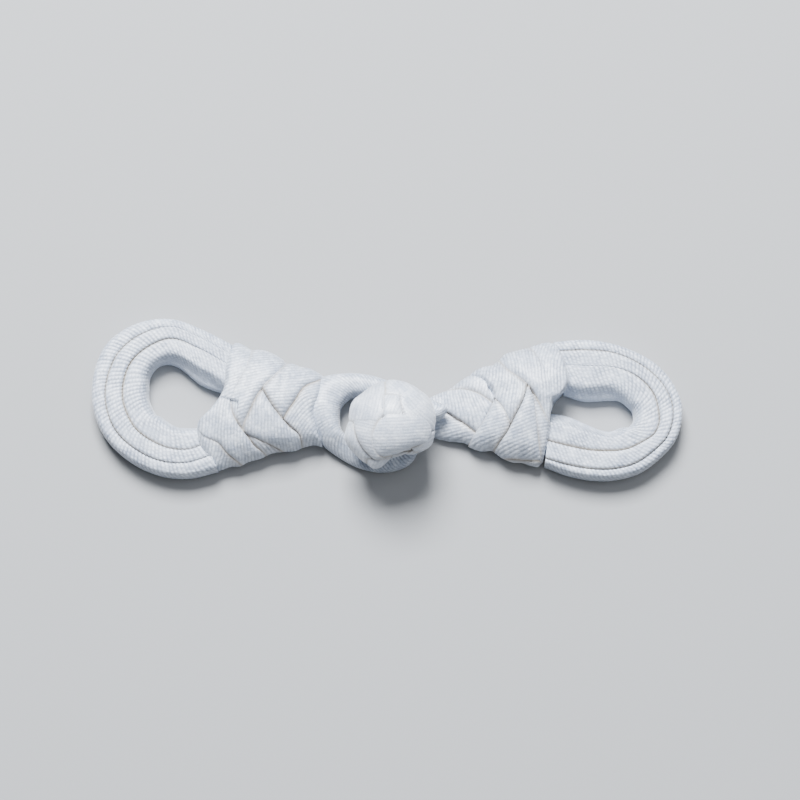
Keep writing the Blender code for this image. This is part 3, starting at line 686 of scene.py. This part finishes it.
@dataclass(frozen=True)
class RibRelief:
    """Raises the ribs and thread floats of a cloth surface, with a Geometry Nodes tree."""

    pitch: float
    float_length: float
    height: float
    unevenness: float = 0.03
    seed: int = 5

    def tree(self) -> bpy.types.NodeTree:
        """Builds the tree.

        Returns:
            A node group with named inputs for its sizes, its seed and its material.
        """
        tree = bpy.data.node_groups.new("rib_relief", "GeometryNodeTree")
        sockets = (
            ("Geometry", "NodeSocketGeometry"), ("Rib Pitch", "NodeSocketFloat"),
            ("Float Length", "NodeSocketFloat"), ("Rib Height", "NodeSocketFloat"),
            ("Unevenness", "NodeSocketFloat"), ("Seed", "NodeSocketFloat"),
            ("Cloth", "NodeSocketMaterial"),
        )
        for name, kind in sockets:
            tree.interface.new_socket(name, in_out="INPUT", socket_type=kind)
        tree.interface.new_socket("Geometry", in_out="OUTPUT", socket_type="NodeSocketGeometry")
        given = tree.nodes.new("NodeGroupInput").outputs
        weave = add_node(
            tree, "GeometryNodeInputNamedAttribute", {"data_type": "FLOAT_VECTOR"}, {"Name": "weave"},
        )
        ridge, crown, chance, strength = weave_nodes(
            tree, weave.outputs["Attribute"], given["Rib Pitch"], given["Float Length"],
        )
        plump = math_node(tree, "ADD", math_node(tree, "MULTIPLY", crown, 0.35), 0.65)
        uneven = math_node(tree, "ADD", math_node(tree, "MULTIPLY", chance, -0.25), 1.0)
        raised = math_node(tree, "MULTIPLY", math_node(tree, "MULTIPLY", ridge, plump), strength)
        lift = math_node(tree, "MULTIPLY", math_node(tree, "MULTIPLY", raised, uneven), given["Rib Height"])
        noise = add_node(
            tree, "ShaderNodeTexNoise", {"noise_dimensions": "4D"},
            {"W": given["Seed"], "Scale": 0.7 / MM, "Detail": 1.0},
        )
        level = math_node(tree, "SUBTRACT", noise.outputs["Fac"], 0.5)
        wander = math_node(tree, "MULTIPLY", level, given["Unevenness"])
        normal = add_node(tree, "GeometryNodeInputNormal", {}, {})
        offset = add_node(
            tree, "ShaderNodeVectorMath", {"operation": "SCALE"},
            {0: normal.outputs[0], "Scale": math_node(tree, "ADD", lift, wander)},
        )
        moved = add_node(
            tree, "GeometryNodeSetPosition", {}, {"Geometry": given["Geometry"], "Offset": offset.outputs[0]},
        )
        real = add_node(tree, "GeometryNodeRealizeInstances", {}, {"Geometry": moved.outputs[0]})
        dressed = add_node(
            tree, "GeometryNodeSetMaterial", {}, {"Geometry": real.outputs[0], "Material": given["Cloth"]},
        )
        add_node(tree, "NodeGroupOutput", {}, {0: dressed.outputs[0]})
        return tree

    def apply(self, obj: bpy.types.Object, tree: bpy.types.NodeTree, cloth: bpy.types.Material) -> None:
        """Raises the ribs of an object and keeps the result as its plain mesh.

        Args:
            obj: the object, whose mesh has the weave attribute.
            tree: the tree that tree() made.
            cloth: the material that the result wears.
        """
        values = {
            "Rib Pitch": self.pitch, "Float Length": self.float_length, "Rib Height": self.height * MM,
            "Unevenness": self.unevenness * MM, "Seed": float(self.seed), "Cloth": cloth,
        }
        run_tree(obj, tree, values)


def run_tree(obj: bpy.types.Object, tree: bpy.types.NodeTree, values: dict) -> None:
    """Runs a Geometry Nodes tree on an object and keeps the result as its plain mesh.

    Args:
        obj: the object.
        tree: the tree.
        values: the tree's inputs by name.
    """
    modifier = obj.modifiers.new(tree.name, "NODES")
    modifier.node_group = tree
    for item in tree.interface.items_tree:
        if item.in_out == "INPUT" and item.name in values:
            modifier[item.identifier] = values[item.name]
    obj.update_tag()
    depsgraph = bpy.context.evaluated_depsgraph_get()
    plain = bpy.data.meshes.new_from_object(obj.evaluated_get(depsgraph), depsgraph=depsgraph)
    obj.modifiers.remove(modifier)
    spare = obj.data
    obj.data = plain
    bpy.data.meshes.remove(spare)
    plain.name = obj.name


@dataclass
class Relief:
    """The height, weave and painted crease shade of a plait, gathered strand by strand from the lowest one
    up.
    """

    count: int
    edge_round: float = 0.32
    edge_start: float = 0.30
    crease_reach: float = 0.23
    crease_depth: float = 0.36
    # Painted shade: how dark the crease beside a covering strand gets, and how dark that strand's own edge
    # gets and how far in.
    crease_shade_strength: float = 0.9
    edge_shade_strength: float = 0.6
    edge_shade_reach: float = 0.08
    rib_fade: float = 0.25
    height: np.ndarray = field(init=False)
    weave: np.ndarray = field(init=False)
    seam: np.ndarray = field(init=False)

    def __post_init__(self) -> None:
        """Starts with a level ground."""
        self.height = np.zeros(self.count)
        self.weave = np.zeros((self.count, 3))
        self.seam = np.zeros(self.count)

    def lay(
        self, margin: np.ndarray, lift: np.ndarray, sharp: np.ndarray, long: np.ndarray, cross: np.ndarray,
    ) -> None:
        """Lays a strand over what is there.

        Args:
            margin: how far each point is inside the strand's edge, below 0 outside.
            lift: how far the strand stands up at each point.
            sharp: how distinct the nearest edge is, from 0 to 1.
            long: the place along the ribs.
            cross: the place across the ribs.
        """
        inside = margin > 0
        within = np.maximum(margin, 0.0)
        beyond = sharp * np.exp(np.minimum(margin, 0.0) / self.crease_reach)
        rounding = (1.0 - self.edge_start) * np.exp(-within / self.edge_round)
        own = lift * (1.0 - sharp * rounding)
        self.height = np.where(inside, own, self.height - self.crease_depth * beyond)
        # Painted shade in the crease beside this strand's edge where it covers another, and along that edge
        # itself.
        tint = np.maximum(self.seam, self.crease_shade_strength * beyond)
        edge = self.edge_shade_strength * sharp * np.exp(-within / self.edge_shade_reach)
        self.seam = np.where(inside, edge, tint)
        strength = np.clip(within / self.rib_fade + 1.0 - sharp, 0.0, 1.0)
        place = np.stack([long, cross, strength], axis=1)
        self.weave = np.where(inside[:, None], place, self.weave)


@dataclass
class Piece:
    """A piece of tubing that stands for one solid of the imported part."""

    name: str
    node: str
    slot: str
    cloth: bpy.types.Material
    ribs: RibRelief
    tree: bpy.types.NodeTree

    def surface(self) -> Surface:
        """Gives the piece's shape."""
        raise NotImplementedError

    @staticmethod
    def rib_wander(points: np.ndarray, reach: float = 0.09, seed: int = 11) -> np.ndarray:
        """Gives how far the ribs stray from their even lines, as pulled cloth has them.

        Args:
            points: places on the piece.
            reach: how far they stray.
            seed: what the straying starts from.

        Returns:
            The distance at each place.
        """
        chance = np.random.default_rng(seed)
        lengths = (4.1, 2.6, 1.7)
        stray = np.zeros(len(points))
        for length in lengths:
            way = chance.normal(size=3)
            way *= 2 * math.pi / length / np.linalg.norm(way)
            stray += length * np.sin(points @ way + chance.uniform(0.0, 2 * math.pi))
        return reach * stray / sum(lengths)

    def build(self) -> bpy.types.Object:
        """Builds the piece, raises its ribs and puts it in the solid's place.

        Returns:
            The finished object.
        """
        surface = self.surface()
        surface.weave[:, 1] += self.rib_wander(surface.points)
        obj = surface.to_object(self.name)
        self.ribs.apply(obj, self.tree, self.cloth)
        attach(obj, "root")
        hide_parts(self.node)
        LOG.info("%s: %d faces", self.name, len(obj.data.polygons))
        return obj


def tube_section(width: float, lean: float, sides: int, corners: tuple[float, float]) -> np.ndarray:
    """Gives a section of flattened tubing, one unit high, with a flat under side.

    Args:
        width: its width.
        lean: how far its upper part draws back on its second side.
        sides: how many points it has.
        corners: the power of the curve on its first and second side, above 2 for tighter corners.

    Returns:
        Rows of place across, place up and place round the section.
    """
    flat = 0.06
    fold_size, fold_place, fold_reach = 0.14, 0.42, 0.09
    height_weight = 3.4
    ground_top, ground_weight = 0.12, 0.22
    angle = np.linspace(0.0, 2 * math.pi, 721)
    power = 2 / np.where(np.cos(angle) < 0, corners[0], corners[1])
    across = np.copysign(np.abs(np.cos(angle)) ** power, np.cos(angle))
    up = 0.5 + 0.5 * np.copysign(np.abs(np.sin(angle)) ** power, np.sin(angle))
    up = np.maximum(0.0, (up - flat) / (1.0 - flat))
    drawn = np.where(across > 0, lean * up, 0.0)
    fold = fold_size * lean * np.exp(-(((up - fold_place) / fold_reach) ** 2)) * (across > 0)
    place = np.stack([width / 2 * across - drawn * across + fold, up], axis=1)
    steps = np.linalg.norm(np.diff(place * (1.0, height_weight), axis=0), axis=1)
    ground = (up[1:] + up[:-1]) / 2 < ground_top
    walked = np.concatenate([[0.0], np.cumsum(np.where(ground, ground_weight, 1.0) * steps)])
    round_way = np.concatenate([[0.0], np.cumsum(steps)])
    wanted = np.linspace(0.0, walked[-1], sides + 1)[:-1]
    columns = (place[:, 0], place[:, 1], round_way)
    return np.stack([np.interp(wanted, walked, column) for column in columns], axis=1)


def tube_faces(rings: int, sides: int, closed: bool) -> list:
    """Gives the faces of a tube of rings, with flat ends where it isn't closed.

    Args:
        rings: how many rings it has.
        sides: how many points a ring has.
        closed: whether the last ring joins the first.

    Returns:
        Corner numbers of each face.
    """
    faces = []
    for ring in range(rings if closed else rings - 1):
        here, there = ring * sides, ((ring + 1) % rings) * sides
        for side in range(sides):
            after = (side + 1) % sides
            faces.append((here + side, here + after, there + after, there + side))
    if not closed:
        for start in (0, (rings - 1) * sides):
            faces.append(tuple(range(start, start + sides)))
    return faces


@dataclass
class EyeRow(Piece):
    """One turn of tubing on edge, in an eye."""

    spokes: tuple[Spoke, ...]
    turn: Turn
    steps: int
    sides: int = 42
    heights: tuple[float, float, float] = (3.2, 3.45, 3.4)
    free_corner: float = 2.9
    groove_corner: float = 9.0
    join: float = 0.01
    level: float = 3.4
    slant: float = 0.36
    most_lean: float = 0.46
    least_lean: float = 0.04
    wall_top: float = 0.85
    wall_calm: float = 0.7
    shoulder_start: float = 0.86
    shoulder_reach: float = 0.12
    # Painted shade on the shoulders beside a groove between rows.
    groove_shade_strength: float = 0.9

    def surface(self) -> Surface:
        """Sweeps the section along the eye.

        Returns:
            The row's closed surface.
        """
        rows = smooth_rows(self.spokes, self.steps)
        grooves = (None, 4, 5, None)
        inner = self.turn is Turn.INNER
        middle_line = []
        points, weave, seam = [], [], []
        bounds = []
        for row in rows:
            outer, hole = row[0:2], row[2:4]
            reach = np.linalg.norm(hole - outer)
            first, last = grooves[self.turn.value], grooves[self.turn.value + 1]
            low = row[first] * reach + self.join if first else 0.0
            high = row[last] * reach - self.join if last else reach
            inward = (hole - outer) / reach
            bounds.append((low, high, inward, outer, row))
            middle_line.append(outer + inward * (low + high) / 2)
        along = arc_lengths(np.array(middle_line))
        height = self.heights[self.turn.value]
        for (low, high, inward, outer, row), station in zip(bounds, along):
            depths = (1.0, row[7], row[8], 1.0)[self.turn.value:self.turn.value + 2]
            lean = min(row[6], self.most_lean * (high - low)) if inner else self.least_lean
            corners = [self.free_corner, self.free_corner]
            for side, number in ((0, self.turn.value), (1, self.turn.value + 1)):
                if grooves[number]:
                    corners[side] = self.groove_corner
            section = tube_section(high - low, lean, self.sides, tuple(corners))
            side = section[:, 0] / ((high - low) / 2)
            depth = np.where(side < 0, depths[0], depths[1])
            top = self.level + (height - self.level) * depth
            sunk = (1.0 - section[:, 1]) * np.where(section[:, 1] > 0.5, depth, 1.0)
            place = outer + inward * ((low + high) / 2 + section[:, :1])
            points.append(np.column_stack([place, top * (1.0 - sunk)]))
            around = section[:, 2]
            wall = np.clip((self.wall_top - section[:, 1]) / 0.2, 0.0, 1.0) * (side > 0) if inner else 0.0
            weave.append(np.column_stack([
                around, station + self.slant * around, np.ones(self.sides) - self.wall_calm * wall,
            ]))
            # Painted shade on the shoulders that face a groove, as strong as the groove is deep.
            shoulder = np.clip((np.abs(side) - self.shoulder_start) / self.shoulder_reach, 0.0, 1.0)
            in_groove = np.where(side < 0, corners[0], corners[1]) == self.groove_corner
            seam.append(self.groove_shade_strength * shoulder * depth * in_groove)
        faces = tube_faces(self.steps, self.sides, closed=False)
        return Surface(np.vstack(points), faces, np.vstack(weave), np.concatenate(seam))


@dataclass
class ButtonLoop(Piece):
    """The loop round the knot, one closed ring of tubing."""

    sections: tuple[LoopSection, ...]
    steps: int = 560
    sides: int = 44
    corner: float = 2.4
    slant: float = 0.5

    def surface(self) -> Surface:
        """Sweeps the section round the loop.

        Returns:
            The loop's closed surface.
        """
        rows = smooth_rows(self.sections, self.steps, closed=True)
        middle_line = (rows[:, 0:2] + rows[:, 2:4]) / 2
        along = arc_lengths(np.vstack([middle_line, middle_line[:1]]))
        whole = round(along[-1] / self.ribs.pitch) * self.ribs.pitch
        along = along[:-1] * whole / along[-1]
        points, weave = [], []
        for row, station in zip(rows, along):
            outer, inner = row[0:2], row[2:4]
            low, high = max(0.0, row[4]), row[5]
            width = np.linalg.norm(inner - outer)
            section = tube_section(width, 0.0, self.sides, (self.corner, self.corner))
            place = (outer + inner) / 2 + (inner - outer) / width * section[:, :1]
            roll = 1.0 - row[6] * (0.5 - section[:, 0] / width)
            points.append(np.column_stack([place, low + (high - low) * section[:, 1] * roll]))
            around = section[:, 2]
            weave.append(np.column_stack([around, station + self.slant * around, np.ones(self.sides)]))
        faces = tube_faces(self.steps, self.sides, closed=True)
        return Surface(np.vstack(points), faces, np.vstack(weave), np.zeros(self.steps * self.sides))


@dataclass
class PlaitedBody(Piece):
    """A plaited body between four plan edges, with a flat under side and raised strands."""

    far: tuple[Point, ...]
    near: tuple[Point, ...]
    start: tuple[Point, ...]
    end: tuple[Point, ...]
    heights: tuple[float, ...]
    strands: tuple[Strand, ...]
    steps: int = 250
    top_sides: int = 190
    bottom_sides: int = 11
    rim_part: float = 0.34
    swell_power: float = 0.95
    end_drop: float = 0.12
    end_part: float = 0.05
    raise_power: float = 1.5
    under_power: float = 2.2

    def plan(self, across: np.ndarray) -> np.ndarray:
        """Blends the plan between its four edges.

        Args:
            across: parts of the way across, from the far to the near edge.

        Returns:
            Places in plan, one row of them for each step along.
        """
        fine = 400
        far, near = smooth_rows(self.far, self.steps), smooth_rows(self.near, self.steps)
        start_line, end_line = smooth_rows(self.start, fine), smooth_rows(self.end, fine)
        picked = np.rint(across * (fine - 1)).astype(int)
        along = np.linspace(0.0, 1.0, self.steps)[:, None, None]
        side = across[None, :, None]
        start, end = start_line[picked][None], end_line[picked][None]
        corners = (
            (1 - along) * ((1 - side) * start_line[0] + side * start_line[-1])
            + along * ((1 - side) * end_line[0] + side * end_line[-1])
        )
        edges = (1 - side) * far[:, None] + side * near[:, None]
        return edges + (1 - along) * start + along * end - corners

    def relief(self, x: np.ndarray, y: np.ndarray) -> Relief:
        """Lays the strands in their order on the body.

        Args:
            x: places along.
            y: places across.

        Returns:
            The relief at those places.
        """
        relief = Relief(len(x))
        for strand in self.strands:
            relief.lay(*strand_place(strand, x, y))
        return relief

    def surface(self) -> Surface:
        """Builds the body's top, under side and ends.

        Returns:
            The body's closed surface.
        """
        top_angle = np.linspace(0.0, math.pi, self.top_sides + 1)
        under_angle = np.linspace(math.pi, 0.0, self.bottom_sides + 2)[1:-1]
        angle = np.concatenate([top_angle, under_angle])
        plan = self.plan((1 - np.cos(angle)) / 2)
        sides = len(angle)
        flat = plan.reshape(-1, 2)
        relief = self.relief(flat[:, 0], flat[:, 1])
        along = np.linspace(0.0, 1.0, self.steps)
        table = np.interp(along * (len(self.heights) - 1), range(len(self.heights)), self.heights)
        near_end = np.maximum(0.0, 1.0 - np.minimum(along, 1.0 - along) / self.end_part)
        fade = (1.0 - self.end_drop * near_end**2)[:, None]
        height = table[:, None] * fade
        rim = self.rim_part * height
        is_top = np.arange(sides) <= self.top_sides
        swell = np.abs(np.sin(angle)) ** self.swell_power
        swell[[0, self.top_sides]] = 0.0
        raised = relief.height.reshape(self.steps, sides) * np.minimum(1.0, self.raise_power * swell) * fade
        top = rim + (height - rim) * swell + raised
        under = rim * np.maximum(0.0, 1.0 - self.under_power * np.sin(angle))
        z = np.where(is_top, top, under)
        points = np.column_stack([flat, z.ravel()])
        weave = relief.weave
        weave[:, 2] *= np.tile(is_top, self.steps)
        faces = tube_faces(self.steps, sides, closed=False)[:-2]
        for first in (0, (self.steps - 1) * sides):
            faces.extend(self.end_faces(first))
        return Surface(points, faces, weave, relief.seam)

    def end_faces(self, first: int) -> list:
        """Fills one end with triangles that walk along its top and its under side together.

        Args:
            first: the number of the end's first point.

        Returns:
            Corner numbers of each triangle.
        """
        top = list(range(first, first + self.top_sides + 1))
        tail = range(first + self.top_sides + 1, first + self.top_sides + 1 + self.bottom_sides)
        under = [top[0], *reversed(tail), top[-1]]
        faces = []
        upper, lower = 0, 0
        while upper < self.top_sides or lower < len(under) - 1:
            upper_part = (upper + 1) / self.top_sides
            lower_part = (lower + 1) / (self.bottom_sides + 1)
            if lower == len(under) - 1 or (upper < self.top_sides and upper_part <= lower_part):
                corners = (top[upper], top[upper + 1], under[lower])
                upper += 1
            else:
                corners = (top[upper], under[lower + 1], under[lower])
                lower += 1
            if len(set(corners)) == 3:
                faces.append(corners)
        return faces


def strand_place(strand: Strand, x: np.ndarray, y: np.ndarray) -> tuple:
    """Finds where places in plan are on a strand.

    Args:
        strand: the strand.
        x: places along the closure.
        y: places across it.

    Returns:
        The margin inside the strand's edge, its lift, how distinct the nearest edge is, and the places
        along and across its ribs.
    """
    far_off = 1.2
    line = smooth_rows(strand.sections, 60, plan=4)
    rim = np.vstack([line[:, 0:2], line[::-1, 2:4]])
    distinct = np.concatenate([line[:, 5], line[::-1, 6]])
    after = np.roll(rim, -1, axis=0)
    run = after - rim + 1e-9
    margin, lift, sharp = np.full(len(x), -far_off), np.zeros(len(x)), np.zeros(len(x))
    low, high = rim.min(axis=0) - far_off, rim.max(axis=0) + far_off
    near = np.flatnonzero((x > low[0]) & (x < high[0]) & (y > low[1]) & (y < high[1]))
    px, py = x[near, None], y[near, None]
    part = ((px - rim[:, 0]) * run[:, 0] + (py - rim[:, 1]) * run[:, 1]) / np.sum(run**2, axis=1)
    part = np.clip(part, 0.0, 1.0)
    away = np.hypot(px - rim[:, 0] - part * run[:, 0], py - rim[:, 1] - part * run[:, 1])
    nearest = np.argmin(away, axis=1)
    crossed = ((rim[:, 1] > py) != (after[:, 1] > py)) & (
        px < run[:, 0] * (py - rim[:, 1]) / run[:, 1] + rim[:, 0]
    )
    sign = np.where(np.sum(crossed, axis=1) % 2 == 1, 1.0, -1.0)
    margin[near] = sign * away[np.arange(len(near)), nearest]
    sharp[near] = np.clip(distinct[nearest], 0.0, 1.0)
    middle = (line[:, 0:2] + line[:, 2:4]) / 2
    section = np.argmin((px - middle[:, 0]) ** 2 + (py - middle[:, 1]) ** 2, axis=1)
    lift[near] = line[section, 4]
    anchor = middle[len(middle) // 2]
    turn = math.radians(strand.ribs_deg)
    long = (x - anchor[0]) * math.cos(turn) + (y - anchor[1]) * math.sin(turn)
    cross = -(x - anchor[0]) * math.sin(turn) + (y - anchor[1]) * math.cos(turn)
    cross = (cross - strand.curve / 2 * long**2) / np.clip(1.0 + strand.fan * long, 0.4, 2.5)
    return margin, lift, sharp, long, cross


@dataclass
class BallKnot(Piece):
    """The ball knot: a round body with its crossing strands raised.

    The rim and the strands are placed as they are seen from the camera's side, with +Y upward there.
    """

    rim: tuple[Reach, ...]
    strands: tuple[Strand, ...]
    centre: tuple[float, float, float] = (0.65, -3.9, 6.8)
    half_width: float = 5.4
    half_height: float = 4.85
    relief_base: float = 0.89
    view_tilt_deg: float = 12.0
    grid: int = 88
    side_faces: int = 9
    side_below_deg: float = -14.0
    side_turn_deg: float = 35.0
    side_half_long: float = 0.52
    side_half_wide: float = 0.32
    side_power: float = 3.4
    side_lift: float = 0.7
    side_crown: float = 0.17

    def rim_reach(self, turn_deg: np.ndarray) -> np.ndarray:
        """Reads the rim's reach with its corners rounded.

        Args:
            turn_deg: directions seen from above.

        Returns:
            The reach in each direction.
        """
        span, softness = 12, 4.0
        whole = np.arange(-180, 180)
        table = np.array([tuple(row) for row in self.rim])
        reach = np.interp(whole, table[:, 0], table[:, 1], period=360)
        spread = np.exp(-0.5 * (np.arange(-span, span + 1) / softness) ** 2)
        wrapped = np.concatenate([reach[-span:], reach, reach[:span]])
        rounded = np.convolve(wrapped, spread / spread.sum(), mode="valid")
        return np.interp(turn_deg, whole, rounded, period=360)

    def lay_side(self, relief: Relief, direction: np.ndarray) -> None:
        """Lays the strands' faces round the knot's side, each turned against the next.

        Args:
            relief: the relief that takes them.
            direction: the unit direction of each point.
        """
        low = math.radians(self.side_below_deg)
        for index in range(self.side_faces):
            turn = 2 * math.pi * index / self.side_faces
            level = math.cos(low)
            middle = np.array((level * math.cos(turn), level * math.sin(turn), math.sin(low)))
            east = np.array((-math.sin(turn), math.cos(turn), 0.0))
            north = np.cross(middle, east)
            heading = math.radians(self.side_turn_deg if index % 2 else 180.0 - self.side_turn_deg)
            along = math.cos(heading) * east + math.sin(heading) * north
            across = np.cross(middle, along)
            out_long = direction @ along / self.side_half_long
            out_wide = direction @ across / self.side_half_wide
            power = self.side_power
            reach = (np.abs(out_long) ** power + np.abs(out_wide) ** power) ** (1 / power)
            reach = np.where(direction @ middle > 0, reach, FAR)
            relief.lay(
                (1.0 - reach) * self.side_half_wide * self.half_width,
                self.side_lift - self.side_crown * np.clip(reach, 0.0, 1.0) ** 2, np.ones(len(reach)),
                direction @ across * self.half_width, direction @ along * self.half_width,
            )

    def surface(self) -> Surface:
        """Rounds a cube's grid to a ball and lays the strands on it.

        Returns:
            The knot's closed surface.
        """
        builder = bmesh.new()
        bmesh.ops.create_cube(builder, size=2.0)
        bmesh.ops.subdivide_edges(builder, edges=builder.edges, cuts=self.grid - 1, use_grid_fill=True)
        builder.verts.ensure_lookup_table()
        corners = np.array([vert.co[:] for vert in builder.verts])
        faces = [tuple(vert.index for vert in face.verts) for face in builder.faces]
        builder.free()
        even = np.tan(corners * math.pi / 4)
        direction = even / np.linalg.norm(even, axis=1)[:, None]
        tilt = math.radians(self.view_tilt_deg)
        north = np.array((0.0, math.cos(tilt), math.sin(tilt)))
        toward = direction @ np.array((0.0, -math.sin(tilt), math.cos(tilt)))
        right, up = direction[:, 0], direction @ north
        lateral = np.hypot(right, up)
        reach = self.rim_reach(np.degrees(np.arctan2(up, right)))
        spread = 1.0 + (reach / self.half_width - 1.0) * lateral**2
        # The relief also paints crease shade round the side faces and the strands.
        relief = Relief(len(direction), edge_round=0.36, crease_depth=0.38, crease_reach=0.17)
        self.lay_side(relief, direction)
        seen_x, seen_y = right * spread * self.half_width, up * spread * self.half_width
        for strand in self.strands:
            margin, lift, sharp, long, cross = strand_place(strand, seen_x, seen_y)
            relief.lay(np.where(toward > 0, margin, -FAR), lift, sharp, long, cross)
        radius = self.relief_base + (1.0 - self.relief_base) * relief.height
        size = np.array((self.half_width, self.half_width, self.half_height))
        seen = right[:, None] * np.array((1.0, 0.0, 0.0)) + up[:, None] * north
        body = direction * size + (spread - 1.0)[:, None] * seen * self.half_width
        points = np.array(self.centre) + radius[:, None] * body
        return Surface(points, faces, relief.weave, relief.seam)


@dataclass
class Studio:
    """The floor, lights and camera."""

    target: tuple[float, float, float] = (1.54, -0.07, 1.7)
    distance: float = 263.6
    elevation_deg: float = 78.0
    lens: float = 100.0

    def build(self) -> None:
        """Builds the whole stage."""
        self.floor()
        self.area("key_light", (-50.0, 270.0, 390.0), 210.0, 11.0, (0.97, 0.985, 1.0))
        self.area("fill_light", (120.0, 0.0, 430.0), 320.0, 0.8, (0.95, 0.97, 1.0))
        world = bpy.data.worlds.new("studio_air")
        world.use_nodes = True
        world.node_tree.nodes["Background"].inputs["Color"].default_value = srgb("eef2f8")
        world.node_tree.nodes["Background"].inputs["Strength"].default_value = 0.15
        bpy.context.scene.world = world
        self.camera()

    def floor(self) -> None:
        """Lays a plain pale floor under the closure."""
        builder = bmesh.new()
        bmesh.ops.create_grid(builder, x_segments=1, y_segments=1, size=0.6)
        mesh = bpy.data.meshes.new("floor")
        builder.to_mesh(mesh)
        builder.free()
        material = bpy.data.materials.new("matt_paper")
        material.use_nodes = True
        shader = material.node_tree.nodes["Principled BSDF"]
        shader.inputs["Base Color"].default_value = srgb("96989b")
        shader.inputs["Roughness"].default_value = 0.9
        mesh.materials.append(material)
        obj = bpy.data.objects.new("floor", mesh)
        bpy.context.scene.collection.objects.link(obj)

    def area(self, name: str, place: tuple, size: float, power: float, colour: tuple) -> None:
        """Hangs a square soft light that faces the closure.

        Args:
            name: the light's name.
            place: where it hangs.
            size: its side.
            power: its power in watts.
            colour: its linear colour.
        """
        light = bpy.data.lights.new(name, "AREA")
        light.energy = power
        light.size = size * MM
        light.color = colour
        obj = bpy.data.objects.new(name, light)
        obj.location = Vector(place) * MM
        obj.rotation_mode = "QUATERNION"
        obj.rotation_quaternion = (-obj.location).to_track_quat("-Z", "Y")
        bpy.context.scene.collection.objects.link(obj)

    def camera(self) -> None:
        """Sets the camera above the closure, a little towards its near side."""
        data = bpy.data.cameras.new("camera")
        data.lens = self.lens
        data.clip_start, data.clip_end = 0.01, 5.0
        obj = bpy.data.objects.new("camera", data)
        tilt = math.radians(self.elevation_deg)
        back = Vector((0.0, -math.cos(tilt), math.sin(tilt)))
        obj.location = (Vector(self.target) + back * self.distance) * MM
        obj.rotation_mode = "QUATERNION"
        obj.rotation_quaternion = (-back).to_track_quat("-Z", "Y")
        bpy.context.scene.collection.objects.link(obj)
        bpy.context.scene.camera = obj


# Row satin: knitted filament tubing on edge. Its ribs are 0.49 mm apart, and their short floats look
# like rows of small slanted dashes, drawn with painted shade in the rib dips and at the floats' ends.
# The grooves between rows get a light beige painted shade.
ROW_SATIN = SatinFinish(
    name="knitted_satin_tubing_rows", bright="e6edf6", second="c2cbd8", rib_shade="6f788a", seam="b4aa97",
    rib_pitch=0.49, float_length=0.42, dash=0.85, contrast=0.85, roughness=0.45, bump=0.6,
)
# Plait satin: the same tubing pressed flat and pulled tight, so its ribs lie 0.38 mm apart and shine
# more, and the folds between its strands get a darker beige painted shade.
PLAIT_SATIN = SatinFinish(
    name="pressed_satin_tubing_plait", bright="e2e9f2", second="bec7d4", rib_shade="6d7585", seam="8b7c62",
    rib_pitch=0.38, float_length=0.6, dash=0.55, contrast=0.72, roughness=0.4, bump=0.5,
)
# Knot satin: the tubing drawn into a ball, whose stretched faces are the smoothest, with the brightest
# thread colours and the lightest painted shade between the ribs.
KNOT_SATIN = SatinFinish(
    name="drawn_satin_tubing_knot", bright="e8eef6", second="ccd4df", rib_shade="8b93a3", seam="95876e",
    rib_pitch=0.37, float_length=0.8, dash=0.4, contrast=0.42, roughness=0.36, bump=0.35,
)


def build_eyes(tree: bpy.types.NodeTree, cloth: bpy.types.Material) -> None:
    """Builds the three turns of both eyes.

    Args:
        tree: the rib tree.
        cloth: the rows' material.
    """
    ribs = RibRelief(ROW_SATIN.rib_pitch, ROW_SATIN.float_length, height=0.045)
    steps = {Turn.OUTER: 700, Turn.MIDDLE: 600, Turn.INNER: 480}
    for side, spokes, slant in (("left", LEFT_EYE, -0.36), ("right", RIGHT_EYE, 0.36)):
        for turn in Turn:
            node = f"{side}_row_{turn.name.lower()}"
            EyeRow(
                f"{node}_tubing", node, "row_satin", cloth, ribs, tree,
                spokes, turn, steps[turn], slant=slant,
            ).build()


def main() -> None:
    """Builds the closure piece by piece, then its stage."""
    logging.basicConfig(level=logging.INFO, format="%(message)s")
    LOG.info("%d solids in the packed part", len(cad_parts))
    rows, plait, knot = ROW_SATIN.build(), PLAIT_SATIN.build(), KNOT_SATIN.build()
    ribs = RibRelief(PLAIT_SATIN.rib_pitch, PLAIT_SATIN.float_length, height=0.030)
    knot_ribs = RibRelief(KNOT_SATIN.rib_pitch, KNOT_SATIN.float_length, height=0.018)
    tree = ribs.tree()
    build_eyes(tree, rows)
    PlaitedBody(
        "left_plait", "left_wrap", "plait_satin", plait, ribs, tree,
        LEFT_FAR_EDGE, LEFT_NEAR_EDGE, LEFT_EYE_END, LEFT_LOOP_END, LEFT_HEIGHTS, LEFT_STRANDS,
    ).build()
    PlaitedBody(
        "right_plait", "right_wrap", "plait_satin", plait, ribs, tree,
        RIGHT_FAR_EDGE, RIGHT_NEAR_EDGE, RIGHT_NECK_END, RIGHT_EYE_END, RIGHT_HEIGHTS, RIGHT_STRANDS,
    ).build()
    PlaitedBody(
        "neck_tubing", "right_neck", "plait_satin", plait, ribs, tree,
        NECK_FAR_EDGE, NECK_NEAR_EDGE, NECK_KNOT_END, NECK_BODY_END, NECK_HEIGHTS, NECK_STRANDS,
        steps=170, top_sides=110,
    ).build()
    ButtonLoop("loop_tubing", "button_loop", "plait_satin", plait, ribs, tree, LOOP_SECTIONS).build()
    BallKnot("ball_knot", "button_knot", "knot_satin", knot, knot_ribs, tree, KNOT_RIM, KNOT_STRANDS).build()
    Studio().build()


if __name__ == "__main__":
    main()
